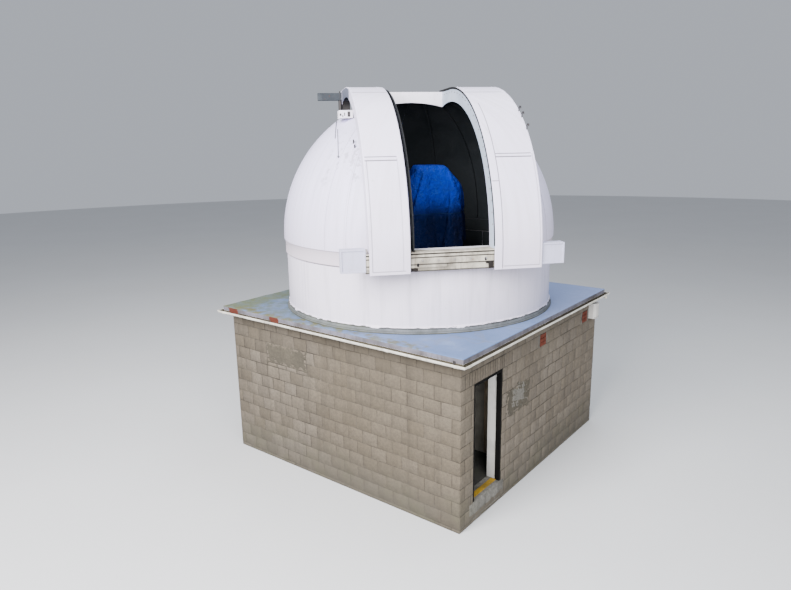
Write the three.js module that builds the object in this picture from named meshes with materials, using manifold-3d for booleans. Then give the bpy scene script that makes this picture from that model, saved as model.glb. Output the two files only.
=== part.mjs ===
// Observatory dome on a square block building, in millimetres, +Z up.
// The origin is on the dome's axis, at the lowest ground that the walls stand on.
// The door wall faces -Y. The dome group is turned about Z, so inside it +X points
// out through the slit and +Y runs across the slit.
import * as THREE from 'three';
import { mergeVertices } from 'three/addons/utils/BufferGeometryUtils.js';
import Module from 'manifold-3d';

const wasm = await Module();
wasm.setup();

// Touching faces of turned or cut pieces keep this gap
const seatGap = 0.3;

// Building, whose middle lies a little off the dome's axis
const houseX = 25;
const houseY = -34;
const wallHalf = 2560;
const wallThick = 250;
const wallTop = 2755;
const floorTop = 350;
const roofHalf = 2660;
const roofTop = 2855;
const fasciaThick = 20;
const fasciaBottom = 2705;
const gutterWidth = 85;
const gutterBottom = 2730;
const gutterTop = 2785;
const gutterSkin = 4;
const outletRadius = 34;
const outletDrop = 50;
const outletInset = 40;

// Doorway in the door wall
const doorLeft = -2180;
const doorRight = -1315;
const doorHead = 2300;
const frameDepth = 85;
const frameWidth = 40;
const liningThick = 15;
const stripDepth = 92;
const stripSetBack = 60;
const stripHeight = 12;

// Partition seen through the doorway
const partitionLeft = -640;
const partitionThick = 100;
const partitionSplit = -1840;
const partitionEnd = -900;
const panelThick = 60;

// Alarm box near the far end of the door wall
const alarmLeft = 2170;
const alarmRight = 2385;
const alarmDepth = 150;
const alarmBottom = 2340;
const alarmTop = 2650;
const alarmChamfer = 45;

// Fixed drum, its felt upstand and the rail that the dome turns on
const roundSteps = 72;
const drumOuter = 2490;
const drumInner = 2430;
const drumTop = 3885;
const drumPieces = 4;
const kerbReach = 45;
const kerbRise = 110;
const kerbLip = 14;
const kerbToe = 30;
const railOuter = 2470;
const railInner = 2440;

// Telescope under its cover, fixed to the roof
const pierRadius = 180;
const pierBaseRadius = 260;
const pierBaseHeight = 60;
const coverBottom = 3650;
const coverDepthHalf = 430;
const coverRound = 90;
const coverOutline = [
  [-300, coverBottom], [980, coverBottom], [960, 4200], [870, 4760], [720, 5100], [560, 5370],
  [460, 5430], [0, 5430], [-60, 5400], [-200, 5040], [-300, 4400],
];

// Dome, turned so that the slit faces this way
const slitAzimuth = THREE.MathUtils.degToRad(228.2);
const ringBottom = 3897;
const ringTop = 4141;
const ringOuter = 2512;
const ringInner = 2482;
const ringFlangeInner = 2430;
const ringFlangeThick = 28;
const sphereCentre = 4169;
const shellOuter = 2530;
const shellInner = 2500;
const shellSteps = 18;
const goreSplits = [0, 39.2, 110, 180];

// Slit, with a coaming on each side and a plate across its upper end
const slitHalf = 623;
const coamingThick = 12;
const coamingCentre = 4160;
const coamingReach = 2690;
const coamingTop = 6760;
const coamingInnerReach = 2470;
const coamingInnerRise = 2345;
const coamingInnerCentre = 4200;
const sillTop = 4220;
const sillThick = 18;
const sillInner = 2350;
const slitEnd = -550;
const endPlateThick = 25;
const endPlateInner = 2457;

// Straight tracks that the two shutters slide on
const trackEndInner = 1365;
const lowerTrackBack = 2530;
const lowerTrackFront = 2715;
const lowerTrackBottom = 3918;
const lowerTrackFace = [
  [2670, lowerTrackBottom], [2670, 4025], [2655, 4025], [2655, 4035], [2690, 4035], [2690, 4130],
  [2670, 4130], [2670, 4142], [2698, 4142], [2698, 4184], [2670, 4184], [2670, 4202],
  [lowerTrackFront, 4202], [lowerTrackFront, sillTop],
];
const trackPlateBack = 2655;
const trackPlateFront = 2690;
const trackPlateLeft = -1364;
const trackPlateRight = -120;
const trackPlateBottom = 3981;
const trackPlateTop = 4036;
const trackHoles = [[-570, 4020], [492, 4073]];
const holeHalfWidth = 19;
const holeHalfHeight = 31;
const holeDepth = 90;
const endBoxBottom = 3948;
const endBoxFront = 2705;
const endBoxRim = 25;
const endBoxRecess = 12;
const trackBracketLow = 4030;
const trackBracketThick = 40;
const trackBracketInner = 900;
const trackBracketOuter = 1500;
const upperTrackHalf = 1762;
const upperTrackBack = -760;
const upperTrackFront = -640;
const upperTrackBottom = 6620;
const upperTrackTop = 6756;
const upperBracketInner = 1150;
const upperBracketOuter = 1372;
const bracketLeg = 37;
const bracketWeb = 25;
const sideBoxInner = 1258;
const sideBoxOuter = 1500;
const sideBoxBack = 430;
const sideBoxFront = 730;
const sideBoxBottom = 6240;
const sideBoxTop = 6375;
const sideSlotInner = 1318;
const sideSlotOuter = 1352;
const sideSlotBottom = 6272;
const sideSlotTop = 6350;
const sideSlotDepth = 50;

// Shutters, straight across and curved over the dome
const shutterSkin = 12;
const shutterReach = 2740;
const shutterRise = 2655;
const shutterCentre = 4140;
const shutterBottom = 3903;
const shutterTail = -780;
const shutterTop = shutterCentre + shutterRise;
const flangeThick = 10;
const flangeRadius = 2460;
const flangeEnd = -628;
const flangeTailBottom = 6765;
const shoeThick = 43;
const shoeHeight = 40;
const upperShoeHalf = 40;
const upperShoeLength = 100;
const shoeInset = 110;

// Each side of the slit: its sign across the slit, its shutter at rest and its end box
const sides = {
  right: {
    sign: 1, shutterInner: 620, shutterOuter: 1385, flangeBottom: 4285, trackEnd: 1765, endBoxTop: 4275,
  },
  left: {
    sign: -1, shutterInner: 695, shutterOuter: 1315, flangeBottom: 4240, trackEnd: 1745, endBoxTop: 4300,
  },
};

// Materials
function paint(color, roughness, metalness = 0) {
  return new THREE.MeshStandardMaterial({ color, roughness, metalness });
}

const materials = {
  block: paint(0x9c9486, 0.95),
  concrete: paint(0x8b8680, 0.95),
  felt: paint(0x9aa3b2, 0.8),
  fascia: paint(0x8d8f96, 0.7),
  gutter: paint(0xd9d6cc, 0.45),
  frame: paint(0x1b1716, 0.6),
  lining: paint(0xc9c8c4, 0.6),
  yellow: paint(0xb98a12, 0.6),
  plaster: paint(0x4a4c4c, 0.9),
  brown: paint(0x4a3324, 0.7),
  alarm: paint(0xd6d2ca, 0.4),
  whiteShell: paint(0xdedce3, 0.4),
  whiteSteel: paint(0xd4d3d8, 0.45, 0.2),
  greySteel: paint(0x6f7880, 0.5, 0.6),
  rail: paint(0x4c4e50, 0.4, 0.8),
  cover: paint(0x0b3c8f, 0.6),
};

// Mesh and solid helpers
function toSolid(geometry) {
  const bare = geometry.clone();
  bare.deleteAttribute('normal');
  bare.deleteAttribute('uv');
  const merged = mergeVertices(bare, 1e-3);
  const index = merged.index.array;
  const kept = [];
  for (let i = 0; i < index.length; i += 3) {
    const [a, b, c] = [index[i], index[i + 1], index[i + 2]];
    if (a !== b && b !== c && c !== a) {
      kept.push(a, b, c);
    }
  }
  return new wasm.Manifold(new wasm.Mesh({
    numProp: 3,
    vertProperties: Float32Array.from(merged.attributes.position.array),
    triVerts: Uint32Array.from(kept),
  }));
}

function toGeometry(solid) {
  const mesh = solid.getMesh();
  const geometry = new THREE.BufferGeometry();
  geometry.setAttribute('position', new THREE.BufferAttribute(mesh.vertProperties, 3));
  geometry.setIndex(new THREE.BufferAttribute(mesh.triVerts, 1));
  geometry.computeVertexNormals();
  return geometry;
}

function addMesh(group, name, geometry, material) {
  const mesh = new THREE.Mesh(geometry, material);
  mesh.name = name;
  group.add(mesh);
  return mesh;
}

function block(x0, x1, y0, y1, z0, z1) {
  const geometry = new THREE.BoxGeometry(x1 - x0, y1 - y0, z1 - z0);
  geometry.translate((x0 + x1) / 2, (y0 + y1) / 2, (z0 + z1) / 2);
  return geometry;
}

// Solid of revolution about Z from [radius, height] points
function turned(points) {
  const profile = points.map(([radius, height]) => new THREE.Vector2(radius, height));
  const geometry = new THREE.LatheGeometry(profile, roundSteps);
  geometry.rotateX(Math.PI / 2);
  return geometry;
}

// Outline in plan, raised from one height to another
function raised(shape, z0, z1, curveSegments = 12) {
  const geometry = new THREE.ExtrudeGeometry(shape, { depth: z1 - z0, bevelEnabled: false, curveSegments });
  geometry.translate(0, 0, z0);
  return geometry;
}

// Outline in the X-Z plane, carried along Y
function acrossSlit(shape, y0, y1, curveSegments = 18) {
  const geometry = new THREE.ExtrudeGeometry(shape, { depth: y1 - y0, bevelEnabled: false, curveSegments });
  geometry.rotateX(Math.PI / 2);
  geometry.translate(0, y1, 0);
  return geometry;
}

// Low and high ends across the slit of a span on one side of it
function span(side, near, far) {
  return [side.sign * near, side.sign * far].sort((a, b) => a - b);
}

function polygon(points) {
  return new THREE.Shape(points.map(([x, y]) => new THREE.Vector2(x, y)));
}

// Points of an arc of the sphere about the dome's axis, from the ring up to the pole
function shellArc(radius, lowest) {
  const start = Math.asin((lowest - sphereCentre) / radius);
  const points = [];
  for (let i = 0; i <= shellSteps; i += 1) {
    const angle = start + (Math.PI / 2 - start) * i / shellSteps;
    const distance = i === shellSteps ? 0 : radius * Math.cos(angle);
    points.push([distance, sphereCentre + radius * Math.sin(angle)]);
  }
  return points;
}

// Solid dome, used to trim what stands on the shell
function domeSolid(radius) {
  const arc = shellArc(radius, ringTop);
  return toSolid(turned([[0, ringTop], ...arc]));
}

// Walls, floor and doorway
function addWalls(group) {
  const inner = wallHalf - wallThick;
  addMesh(group, 'left_wall', block(-wallHalf, -inner, -wallHalf, wallHalf, 0, wallTop), materials.block);
  addMesh(group, 'right_wall', block(inner, wallHalf, -wallHalf, wallHalf, 0, wallTop), materials.block);
  addMesh(group, 'back_wall', block(-inner, inner, inner, wallHalf, 0, wallTop), materials.block);
  addMesh(group, 'front_wall_left', block(-inner, doorLeft, -wallHalf, -inner, 0, wallTop), materials.block);
  addMesh(group, 'front_wall_right', block(doorRight, inner, -wallHalf, -inner, 0, wallTop), materials.block);
  const lintel = block(doorLeft, doorRight, -wallHalf, -inner, doorHead, wallTop);
  addMesh(group, 'door_lintel', lintel, materials.block);
  addMesh(group, 'door_step', block(doorLeft, doorRight, -wallHalf, -inner, 0, floorTop), materials.concrete);
  addMesh(group, 'ground_floor', block(-inner, inner, -inner, inner, 0, floorTop), materials.concrete);
}

// Three-sided surround: two legs and a head, from one depth to another
function surround(left, right, head, leg, y0, y1) {
  const shape = polygon([
    [left, floorTop], [left + leg, floorTop], [left + leg, head - leg], [right - leg, head - leg],
    [right - leg, floorTop], [right, floorTop], [right, head], [left, head],
  ]);
  return acrossSlit(shape, y0, y1);
}

function addDoorway(group) {
  const face = -wallHalf;
  const frameBack = face + frameDepth;
  const inner = -wallHalf + wallThick;
  const frame = surround(doorLeft, doorRight, doorHead, frameWidth, face, frameBack);
  addMesh(group, 'door_frame', frame, materials.frame);
  const lining = surround(doorLeft, doorRight, doorHead, liningThick, frameBack, inner);
  addMesh(group, 'door_lining', lining, materials.lining);
  const stripFront = face + stripSetBack;
  const stripLeft = doorLeft + frameWidth + seatGap;
  const stripRight = doorRight - frameWidth - seatGap;
  const strip = block(
    stripLeft, stripRight, stripFront, stripFront + stripDepth, floorTop, floorTop + stripHeight,
  );
  addMesh(group, 'threshold_strip', strip, materials.yellow);
}

function addPartition(group) {
  const inner = -wallHalf + wallThick;
  const right = partitionLeft + partitionThick;
  const panel = block(
    partitionLeft, partitionLeft + panelThick, inner, partitionSplit, floorTop, wallTop,
  );
  addMesh(group, 'partition_panel', panel, materials.brown);
  const wall = block(partitionLeft, right, partitionSplit, partitionEnd, floorTop, wallTop);
  addMesh(group, 'partition_wall', wall, materials.plaster);
}

// Roof deck with its fascia and gutters
function addRoof(group) {
  const deck = block(-roofHalf, roofHalf, -roofHalf, roofHalf, wallTop, roofTop);
  addMesh(group, 'roof_deck', deck, materials.felt);
  const outer = roofHalf + fasciaThick;
  const ring = toSolid(block(-outer, outer, -outer, outer, fasciaBottom, roofTop));
  const core = toSolid(block(-roofHalf, roofHalf, -roofHalf, roofHalf, fasciaBottom - 1, roofTop + 1));
  addMesh(group, 'roof_fascia', toGeometry(ring.subtract(core)), materials.fascia);
  addGutters(group, outer);
}

function trough(x0, x1, y0, y1) {
  const body = toSolid(block(x0, x1, y0, y1, gutterBottom, gutterTop));
  const hollow = toSolid(block(
    x0 + gutterSkin, x1 - gutterSkin, y0 + gutterSkin, y1 - gutterSkin,
    gutterBottom + gutterSkin, gutterTop + 1,
  ));
  return body.subtract(hollow);
}

function addGutters(group, inner) {
  const outer = inner + gutterWidth;
  const outletX = inner - outletInset;
  const outletY = -inner - gutterWidth / 2;
  const spout = new THREE.CylinderGeometry(outletRadius, outletRadius, outletDrop, 16);
  spout.rotateX(Math.PI / 2);
  spout.translate(outletX, outletY, gutterBottom + gutterSkin - outletDrop / 2);
  const front = trough(-outer, outer, -outer, -inner).add(toSolid(spout));
  addMesh(group, 'gutter_front', toGeometry(front), materials.gutter);
  addMesh(group, 'gutter_back', toGeometry(trough(-outer, outer, inner, outer)), materials.gutter);
  addMesh(group, 'gutter_left', toGeometry(trough(-outer, -inner, -inner, inner)), materials.gutter);
  addMesh(group, 'gutter_right', toGeometry(trough(inner, outer, -inner, inner)), materials.gutter);
}

function addAlarmBox(group) {
  const back = -wallHalf;
  const front = back - alarmDepth;
  const shape = polygon([
    [alarmLeft, back], [alarmLeft, front + alarmChamfer], [alarmLeft + alarmChamfer, front],
    [alarmRight - alarmChamfer, front], [alarmRight, front + alarmChamfer], [alarmRight, back],
  ]);
  addMesh(group, 'alarm_box', raised(shape, alarmBottom, alarmTop), materials.alarm);
}

// Round drum on the roof, in equal segments
function addDrum(group) {
  const turn = 2 * Math.PI / drumPieces;
  const trim = seatGap / drumOuter / 2;
  for (let i = 0; i < drumPieces; i += 1) {
    const start = i * turn + trim;
    const end = (i + 1) * turn - trim;
    const shape = new THREE.Shape();
    shape.absarc(0, 0, drumOuter, start, end, false);
    shape.absarc(0, 0, drumInner, end, start, true);
    const wall = raised(shape, roofTop, drumTop, roundSteps / drumPieces / 2);
    addMesh(group, `drum_wall_${i + 1}`, wall, materials.whiteShell);
  }
  const inside = drumOuter + seatGap;
  const kerb = turned([
    [inside, roofTop], [drumOuter + kerbReach, roofTop], [drumOuter + kerbReach, roofTop + kerbToe],
    [drumOuter + kerbLip, roofTop + kerbRise], [inside, roofTop + kerbRise], [inside, roofTop],
  ]);
  addMesh(group, 'drum_kerb', kerb, materials.felt);
  const railTop = ringBottom - seatGap;
  const rail = turned([
    [railInner, drumTop], [railOuter, drumTop], [railOuter, railTop], [railInner, railTop],
    [railInner, drumTop],
  ]);
  addMesh(group, 'drum_rail', rail, materials.rail);
}

// Pier and covered telescope, which stand still while the dome turns
function addTelescope(group) {
  const pier = turned([
    [0, roofTop], [pierBaseRadius, roofTop], [pierBaseRadius, roofTop + pierBaseHeight],
    [pierRadius, roofTop + pierBaseHeight], [pierRadius, coverBottom - seatGap], [0, coverBottom - seatGap],
  ]);
  addMesh(group, 'telescope_pier', pier, materials.greySteel);
  const cover = new THREE.ExtrudeGeometry(polygon(coverOutline), {
    depth: 2 * (coverDepthHalf - coverRound),
    bevelEnabled: true, bevelThickness: coverRound, bevelSize: coverRound,
    bevelOffset: -coverRound, bevelSegments: 3,
  });
  cover.rotateX(Math.PI / 2);
  cover.rotateZ(Math.PI / 2);
  cover.translate(-(coverDepthHalf - coverRound), 0, 0);
  const mesh = addMesh(group, 'telescope_cover', cover, materials.cover);
  mesh.rotation.z = slitAzimuth;
}

// Dome ring, with an inner flange that runs on the drum's rail
function addDomeRing(dome) {
  const ring = turned([
    [ringFlangeInner, ringBottom], [ringOuter, ringBottom], [ringOuter, ringTop], [ringInner, ringTop],
    [ringInner, ringBottom + ringFlangeThick], [ringFlangeInner, ringBottom + ringFlangeThick],
    [ringFlangeInner, ringBottom],
  ]);
  addMesh(dome, 'dome_ring', ring, materials.whiteShell);
}

// Wedge in plan between two angles from the slit, narrowed by half the seat gap on each side
function wedge(from, to) {
  const reach = 2 * shellOuter;
  const middle = THREE.MathUtils.degToRad((from + to) / 2);
  const half = THREE.MathUtils.degToRad((to - from) / 2);
  const shift = seatGap / 2 / Math.sin(half);
  const point = (angle, length) => [
    shift * Math.cos(middle) + length * Math.cos(angle), shift * Math.sin(middle) + length * Math.sin(angle),
  ];
  const outline = polygon([
    point(middle, 0), point(middle - half, reach), point(middle, reach), point(middle + half, reach),
  ]);
  return toSolid(raised(outline, ringBottom, coamingTop));
}

// Shell in three gores on each side of the slit
function addShell(dome) {
  const lowest = ringTop + seatGap;
  const shell = toSolid(turned([...shellArc(shellInner, lowest).reverse(), ...shellArc(shellOuter, lowest)]));
  const side = slitHalf + coamingThick + seatGap;
  const back = slitEnd - endPlateThick - seatGap;
  const slit = toSolid(block(back, 2 * shellOuter, -side, side, ringBottom, coamingTop));
  const places = ['front', 'middle', 'rear'];
  for (let i = 0; i < places.length; i += 1) {
    const right = shell.intersect(wedge(goreSplits[i], goreSplits[i + 1])).subtract(slit);
    const left = shell.intersect(wedge(-goreSplits[i + 1], -goreSplits[i])).subtract(slit);
    addMesh(dome, `shell_right_${places[i]}`, toGeometry(right), materials.whiteShell);
    addMesh(dome, `shell_left_${places[i]}`, toGeometry(left), materials.whiteShell);
  }
  addSill(dome, shell);
}

// Sill below the slit: a strip of the shell with a shelf behind it
function addSill(dome, shell) {
  const half = slitHalf + coamingThick;
  const strip = toSolid(block(0, 2 * shellOuter, -half, half, ringBottom, sillTop));
  const shelf = toSolid(block(sillInner, shellOuter, -half, half, sillTop - sillThick, sillTop));
  const within = domeSolid((shellInner + shellOuter) / 2);
  const sill = shell.intersect(strip).add(shelf.intersect(within));
  addMesh(dome, 'slit_sill', toGeometry(sill), materials.whiteShell);
}

// Outline of one coaming, a deep rib that follows the slit over the top
function coamingShape() {
  const rise = coamingTop - coamingCentre;
  const foot = sillTop + seatGap;
  const footAngle = Math.asin((foot - coamingCentre) / rise);
  const innerFootAngle = Math.asin((foot - coamingInnerCentre) / coamingInnerRise);
  const back = slitEnd - endPlateThick;
  const innerEndAngle = Math.acos(back / coamingInnerReach);
  const shape = new THREE.Shape();
  shape.absellipse(0, coamingCentre, coamingReach, rise, footAngle, Math.PI / 2, false);
  shape.lineTo(back, coamingTop);
  shape.absellipse(
    0, coamingInnerCentre, coamingInnerReach, coamingInnerRise, innerEndAngle, innerFootAngle, true,
  );
  return shape;
}

function addCoamings(dome) {
  const shape = coamingShape();
  const outer = slitHalf + coamingThick;
  addMesh(dome, 'slit_coaming_right', acrossSlit(shape, slitHalf, outer), materials.whiteSteel);
  addMesh(dome, 'slit_coaming_left', acrossSlit(shape, -outer, -slitHalf), materials.whiteSteel);
  const half = slitHalf - seatGap;
  const plate = toSolid(block(slitEnd - endPlateThick, slitEnd, -half, half, sphereCentre, coamingTop));
  addMesh(dome, 'slit_end_plate', toGeometry(plate.subtract(domeSolid(endPlateInner))), materials.whiteSteel);
}

// Lower track beam: top rail, second rail, main face and lower face, with a ledge back to the shell
function addLowerTrack(dome) {
  const back = lowerTrackBack;
  const section = polygon([[back, lowerTrackBottom], ...lowerTrackFace, [back, sillTop]]);
  const half = trackEndInner - seatGap;
  const plate = block(
    trackPlateBack, trackPlateFront, trackPlateLeft, trackPlateRight, trackPlateBottom, trackPlateTop,
  );
  const ledge = toSolid(block(0, back + 1, -half, half, sillTop - sillThick, sillTop));
  let beam = toSolid(acrossSlit(section, -half, half)).add(toSolid(plate));
  beam = beam.add(ledge.subtract(domeSolid(shellOuter + seatGap)));
  for (const [across, height] of trackHoles) {
    const oval = new THREE.Shape();
    oval.absellipse(across, height, holeHalfWidth, holeHalfHeight, 0, 2 * Math.PI, false);
    const bore = new THREE.ExtrudeGeometry(oval, { depth: holeDepth, bevelEnabled: false, curveSegments: 8 });
    bore.rotateX(Math.PI / 2);
    bore.rotateZ(Math.PI / 2);
    bore.translate(lowerTrackFront - holeDepth, 0, 0);
    beam = beam.subtract(toSolid(bore));
  }
  addMesh(dome, 'lower_track', toGeometry(beam), materials.whiteSteel);
  addTrackEnds(dome);
}

// Cover boxes at the ends of the lower track, with a raised rim, and the brackets behind it
function addTrackEnds(dome) {
  const ringCut = toSolid(turned([
    [0, ringBottom], [ringOuter + seatGap, ringBottom], [ringOuter + seatGap, ringTop], [0, ringTop],
  ]));
  for (const [name, side] of Object.entries(sides)) {
    const [y0, y1] = span(side, trackEndInner, side.trackEnd);
    const box = toSolid(block(lowerTrackBack, endBoxFront, y0, y1, endBoxBottom, side.endBoxTop));
    const recess = toSolid(block(
      endBoxFront - endBoxRecess, endBoxFront + 1, y0 + endBoxRim, y1 - endBoxRim,
      endBoxBottom + endBoxRim, side.endBoxTop - endBoxRim,
    ));
    addMesh(dome, `track_end_${name}`, toGeometry(box.subtract(recess)), materials.whiteSteel);
    const [b0, b1] = span(side, trackBracketInner, trackBracketOuter);
    const bracket = toSolid(block(
      0, lowerTrackBack - seatGap, b0, b1, trackBracketLow, trackBracketLow + trackBracketThick,
    ));
    addMesh(dome, `track_bracket_${name}`, toGeometry(bracket.subtract(ringCut)), materials.whiteSteel);
  }
}

// Upper track on two brackets, each an outer leg and a web behind it, standing on the shell
function addUpperTrack(dome) {
  const beam = block(
    upperTrackBack, upperTrackFront, -upperTrackHalf, upperTrackHalf, upperTrackBottom, upperTrackTop,
  );
  addMesh(dome, 'upper_track', beam, materials.greySteel);
  const trim = domeSolid(shellOuter + seatGap);
  const top = upperTrackBottom - seatGap;
  for (const [name, side] of Object.entries(sides)) {
    const [y0, y1] = span(side, upperBracketInner, upperBracketOuter);
    const [leg0, leg1] = span(side, upperBracketOuter - bracketLeg, upperBracketOuter);
    const leg = toSolid(block(upperTrackBack, upperTrackFront, leg0, leg1, sphereCentre, top));
    const web = toSolid(block(upperTrackBack, upperTrackBack + bracketWeb, y0, y1, sphereCentre, top));
    const bracket = leg.add(web).subtract(trim);
    addMesh(dome, `upper_bracket_${name}`, toGeometry(bracket), materials.whiteSteel);
    addSideBox(dome, name, side, trim);
  }
}

// Slotted box on the shell, under a shutter's outer edge
function addSideBox(dome, name, side, trim) {
  const [y0, y1] = span(side, sideBoxInner, sideBoxOuter);
  const [slot0, slot1] = span(side, sideSlotInner, sideSlotOuter);
  const box = toSolid(block(sideBoxBack, sideBoxFront, y0, y1, sideBoxBottom, sideBoxTop));
  const slot = toSolid(block(
    sideBoxFront - sideSlotDepth, sideBoxFront + 1, slot0, slot1, sideSlotBottom, sideSlotTop,
  ));
  addMesh(dome, `side_box_${name}`, toGeometry(box.subtract(slot).subtract(trim)), materials.whiteSteel);
}

// Outline of a shutter's skin: upright below, curved over the dome, with a level tail
function skinShape() {
  const inside = shutterReach - shutterSkin;
  const shape = new THREE.Shape();
  shape.moveTo(shutterReach, shutterBottom);
  shape.lineTo(shutterReach, shutterCentre);
  shape.absellipse(0, shutterCentre, shutterReach, shutterRise, 0, Math.PI / 2, false);
  shape.lineTo(shutterTail, shutterTop);
  shape.lineTo(shutterTail, shutterTop - shutterSkin);
  shape.absellipse(0, shutterCentre, inside, shutterRise - shutterSkin, Math.PI / 2, 0, true);
  shape.lineTo(inside, shutterBottom);
  return shape;
}

// Outline of the flange that closes a shutter's outer side, down to a circle round the dome
function flangeShape(flangeBottom) {
  const outerStart = Math.asin((flangeBottom - shutterCentre) / shutterRise);
  const innerStart = Math.asin((flangeBottom - sphereCentre) / flangeRadius);
  const innerEnd = Math.acos(flangeEnd / flangeRadius);
  const shape = new THREE.Shape();
  shape.absellipse(0, shutterCentre, shutterReach, shutterRise, outerStart, Math.PI / 2, false);
  shape.lineTo(shutterTail, shutterTop);
  shape.lineTo(shutterTail, flangeTailBottom);
  shape.lineTo(flangeEnd, flangeTailBottom);
  shape.absarc(0, sphereCentre, flangeRadius, innerEnd, innerStart, true);
  return shape;
}

// One shutter, with shoes that ride on the lower and upper tracks
function addShutter(dome, name, side) {
  const [y0, y1] = span(side, side.shutterInner, side.shutterOuter);
  const [edge0, edge1] = span(side, side.shutterOuter - flangeThick, side.shutterOuter);
  const shoeLow = sillTop + seatGap;
  const shoeEnds = [y0 + shoeInset, y1 - shoeInset];
  const parts = [
    acrossSlit(flangeShape(side.flangeBottom), edge0, edge1),
    block(
      shutterReach - shoeThick, shutterReach - shutterSkin / 2, shoeEnds[0], shoeEnds[1],
      shoeLow, shoeLow + shoeHeight,
    ),
  ];
  const middle = (upperTrackBack + upperTrackFront) / 2;
  for (const start of [shoeEnds[0], shoeEnds[1] - upperShoeLength]) {
    parts.push(block(
      middle - upperShoeHalf, middle + upperShoeHalf, start, start + upperShoeLength,
      upperTrackTop + seatGap, shutterTop - shutterSkin / 2,
    ));
  }
  let shutter = toSolid(acrossSlit(skinShape(), y0, y1));
  for (const part of parts) {
    shutter = shutter.add(toSolid(part));
  }
  addMesh(dome, `${name}_shutter`, toGeometry(shutter), materials.whiteShell);
}

const observatory = new THREE.Group();

const house = new THREE.Group();
house.position.set(houseX, houseY, 0);
observatory.add(house);
addWalls(house);
addDoorway(house);
addPartition(house);
addRoof(house);
addAlarmBox(house);

addDrum(observatory);
addTelescope(observatory);

const dome = new THREE.Group();
dome.rotation.z = slitAzimuth;
observatory.add(dome);
addDomeRing(dome);
addShell(dome);
addCoamings(dome);
addLowerTrack(dome);
addUpperTrack(dome);
addShutter(dome, 'right', sides.right);
addShutter(dome, 'left', sides.left);

export default observatory;
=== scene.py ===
import bmesh
import bpy
import math
import numpy as np
from mathutils import Matrix, Vector


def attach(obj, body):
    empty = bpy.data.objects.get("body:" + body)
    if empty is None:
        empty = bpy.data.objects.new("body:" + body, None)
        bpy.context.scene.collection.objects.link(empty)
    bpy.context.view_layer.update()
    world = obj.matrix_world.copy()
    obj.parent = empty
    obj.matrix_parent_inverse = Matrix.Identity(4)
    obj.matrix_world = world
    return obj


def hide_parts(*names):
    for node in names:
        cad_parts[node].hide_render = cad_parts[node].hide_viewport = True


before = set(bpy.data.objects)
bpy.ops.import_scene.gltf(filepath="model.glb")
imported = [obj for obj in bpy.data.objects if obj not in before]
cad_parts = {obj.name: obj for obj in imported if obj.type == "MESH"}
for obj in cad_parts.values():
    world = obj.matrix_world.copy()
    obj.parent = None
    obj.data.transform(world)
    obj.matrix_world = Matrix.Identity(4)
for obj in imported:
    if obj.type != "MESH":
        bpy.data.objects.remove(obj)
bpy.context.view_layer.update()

house = {"x": 0.025, "y": -0.034, "wallHalf": 2.56}
dome = {"turn": math.radians(228.2), "centre": 4.169, "outer": 2.530, "inner": 2.500, "bottom": 4.1413}
camera = {
    "lens": 29.18, "place": (-9.9006, -7.2498, 5.8287), "yaw": 0.6687, "pitch": 0.2335, "roll": -0.0167,
}


def meshOf(name, points, faces):
    mesh = bpy.data.meshes.new(name)
    mesh.from_pydata(np.asarray(points, dtype=float).reshape(-1, 3).tolist(), [], faces)
    return mesh


# New object for a mesh, a light or a camera
def linked(name, data):
    obj = bpy.data.objects.new(name, data)
    bpy.context.scene.collection.objects.link(obj)
    return obj


def addCamera(values):
    yaw, pitch, roll = values["yaw"], values["pitch"], values["roll"]
    look = Vector((math.cos(yaw) * math.cos(pitch), math.sin(yaw) * math.cos(pitch), -math.sin(pitch)))
    side = Vector((math.sin(yaw), -math.cos(yaw), 0))
    up = side.cross(look)
    right = side * math.cos(roll) + up * math.sin(roll)
    top = up * math.cos(roll) - side * math.sin(roll)
    data = bpy.data.cameras.new("photoView")
    data.sensor_fit = "HORIZONTAL"
    data.sensor_width = 36
    data.lens = values["lens"]
    data.clip_end = 200
    obj = linked("photoView", data)
    turn = Matrix((right, top, -look)).transposed().to_4x4()
    obj.matrix_world = Matrix.Translation(Vector(values["place"])) @ turn
    bpy.context.scene.camera = obj


def addSoftbox(name, place, target, size, energy, color):
    data = bpy.data.lights.new(name, "AREA")
    data.shape = "SQUARE"
    data.size = size
    data.energy = energy
    data.color = color
    obj = linked(name, data)
    aim = (Vector(target) - Vector(place)).to_track_quat("-Z", "Y")
    obj.matrix_world = Matrix.Translation(Vector(place)) @ aim.to_matrix().to_4x4()


addCamera(camera)
addSoftbox("keyLight", (-13.5, -1.5, 11.5), (0, 0, 3.6), 10.0, 7800, (1.0, 0.985, 0.99))
addSoftbox("frontLight", (-9.0, -12.0, 9.0), (0, 0, 4.0), 8.0, 1900, (0.97, 0.98, 1.0))
addSoftbox("topLight", (5.0, -1.0, 15.0), (0.5, 0, 3.0), 10.0, 1250, (0.88, 0.94, 1.0))
world = bpy.data.worlds.new("studio")
bpy.context.scene.world = world
world.use_nodes = True
world.node_tree.nodes["Background"].inputs["Color"].default_value = (0.82, 0.87, 0.97, 1)
world.node_tree.nodes["Background"].inputs["Strength"].default_value = 0.58


def addNode(tree, kind, inputs=None, **settings):
    node = tree.nodes.new(kind)
    for key, value in settings.items():
        setattr(node, key, value)
    for key, value in (inputs or {}).items():
        if isinstance(value, bpy.types.NodeSocket):
            tree.links.new(value, node.inputs[key])
        else:
            node.inputs[key].default_value = value
    return node


def mixColor(tree, factor, first, second):
    node = addNode(tree, "ShaderNodeMix", data_type="RGBA", blend_type="MIX")
    for index, value in ((0, factor), (6, first), (7, second)):
        if isinstance(value, bpy.types.NodeSocket):
            tree.links.new(value, node.inputs[index])
        else:
            node.inputs[index].default_value = value if index == 0 else (*value[:3], 1)
    return node.outputs[2]


def math2(tree, operation, first, second=0.0):
    return addNode(tree, "ShaderNodeMath", {0: first, 1: second}, operation=operation).outputs[0]


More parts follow.
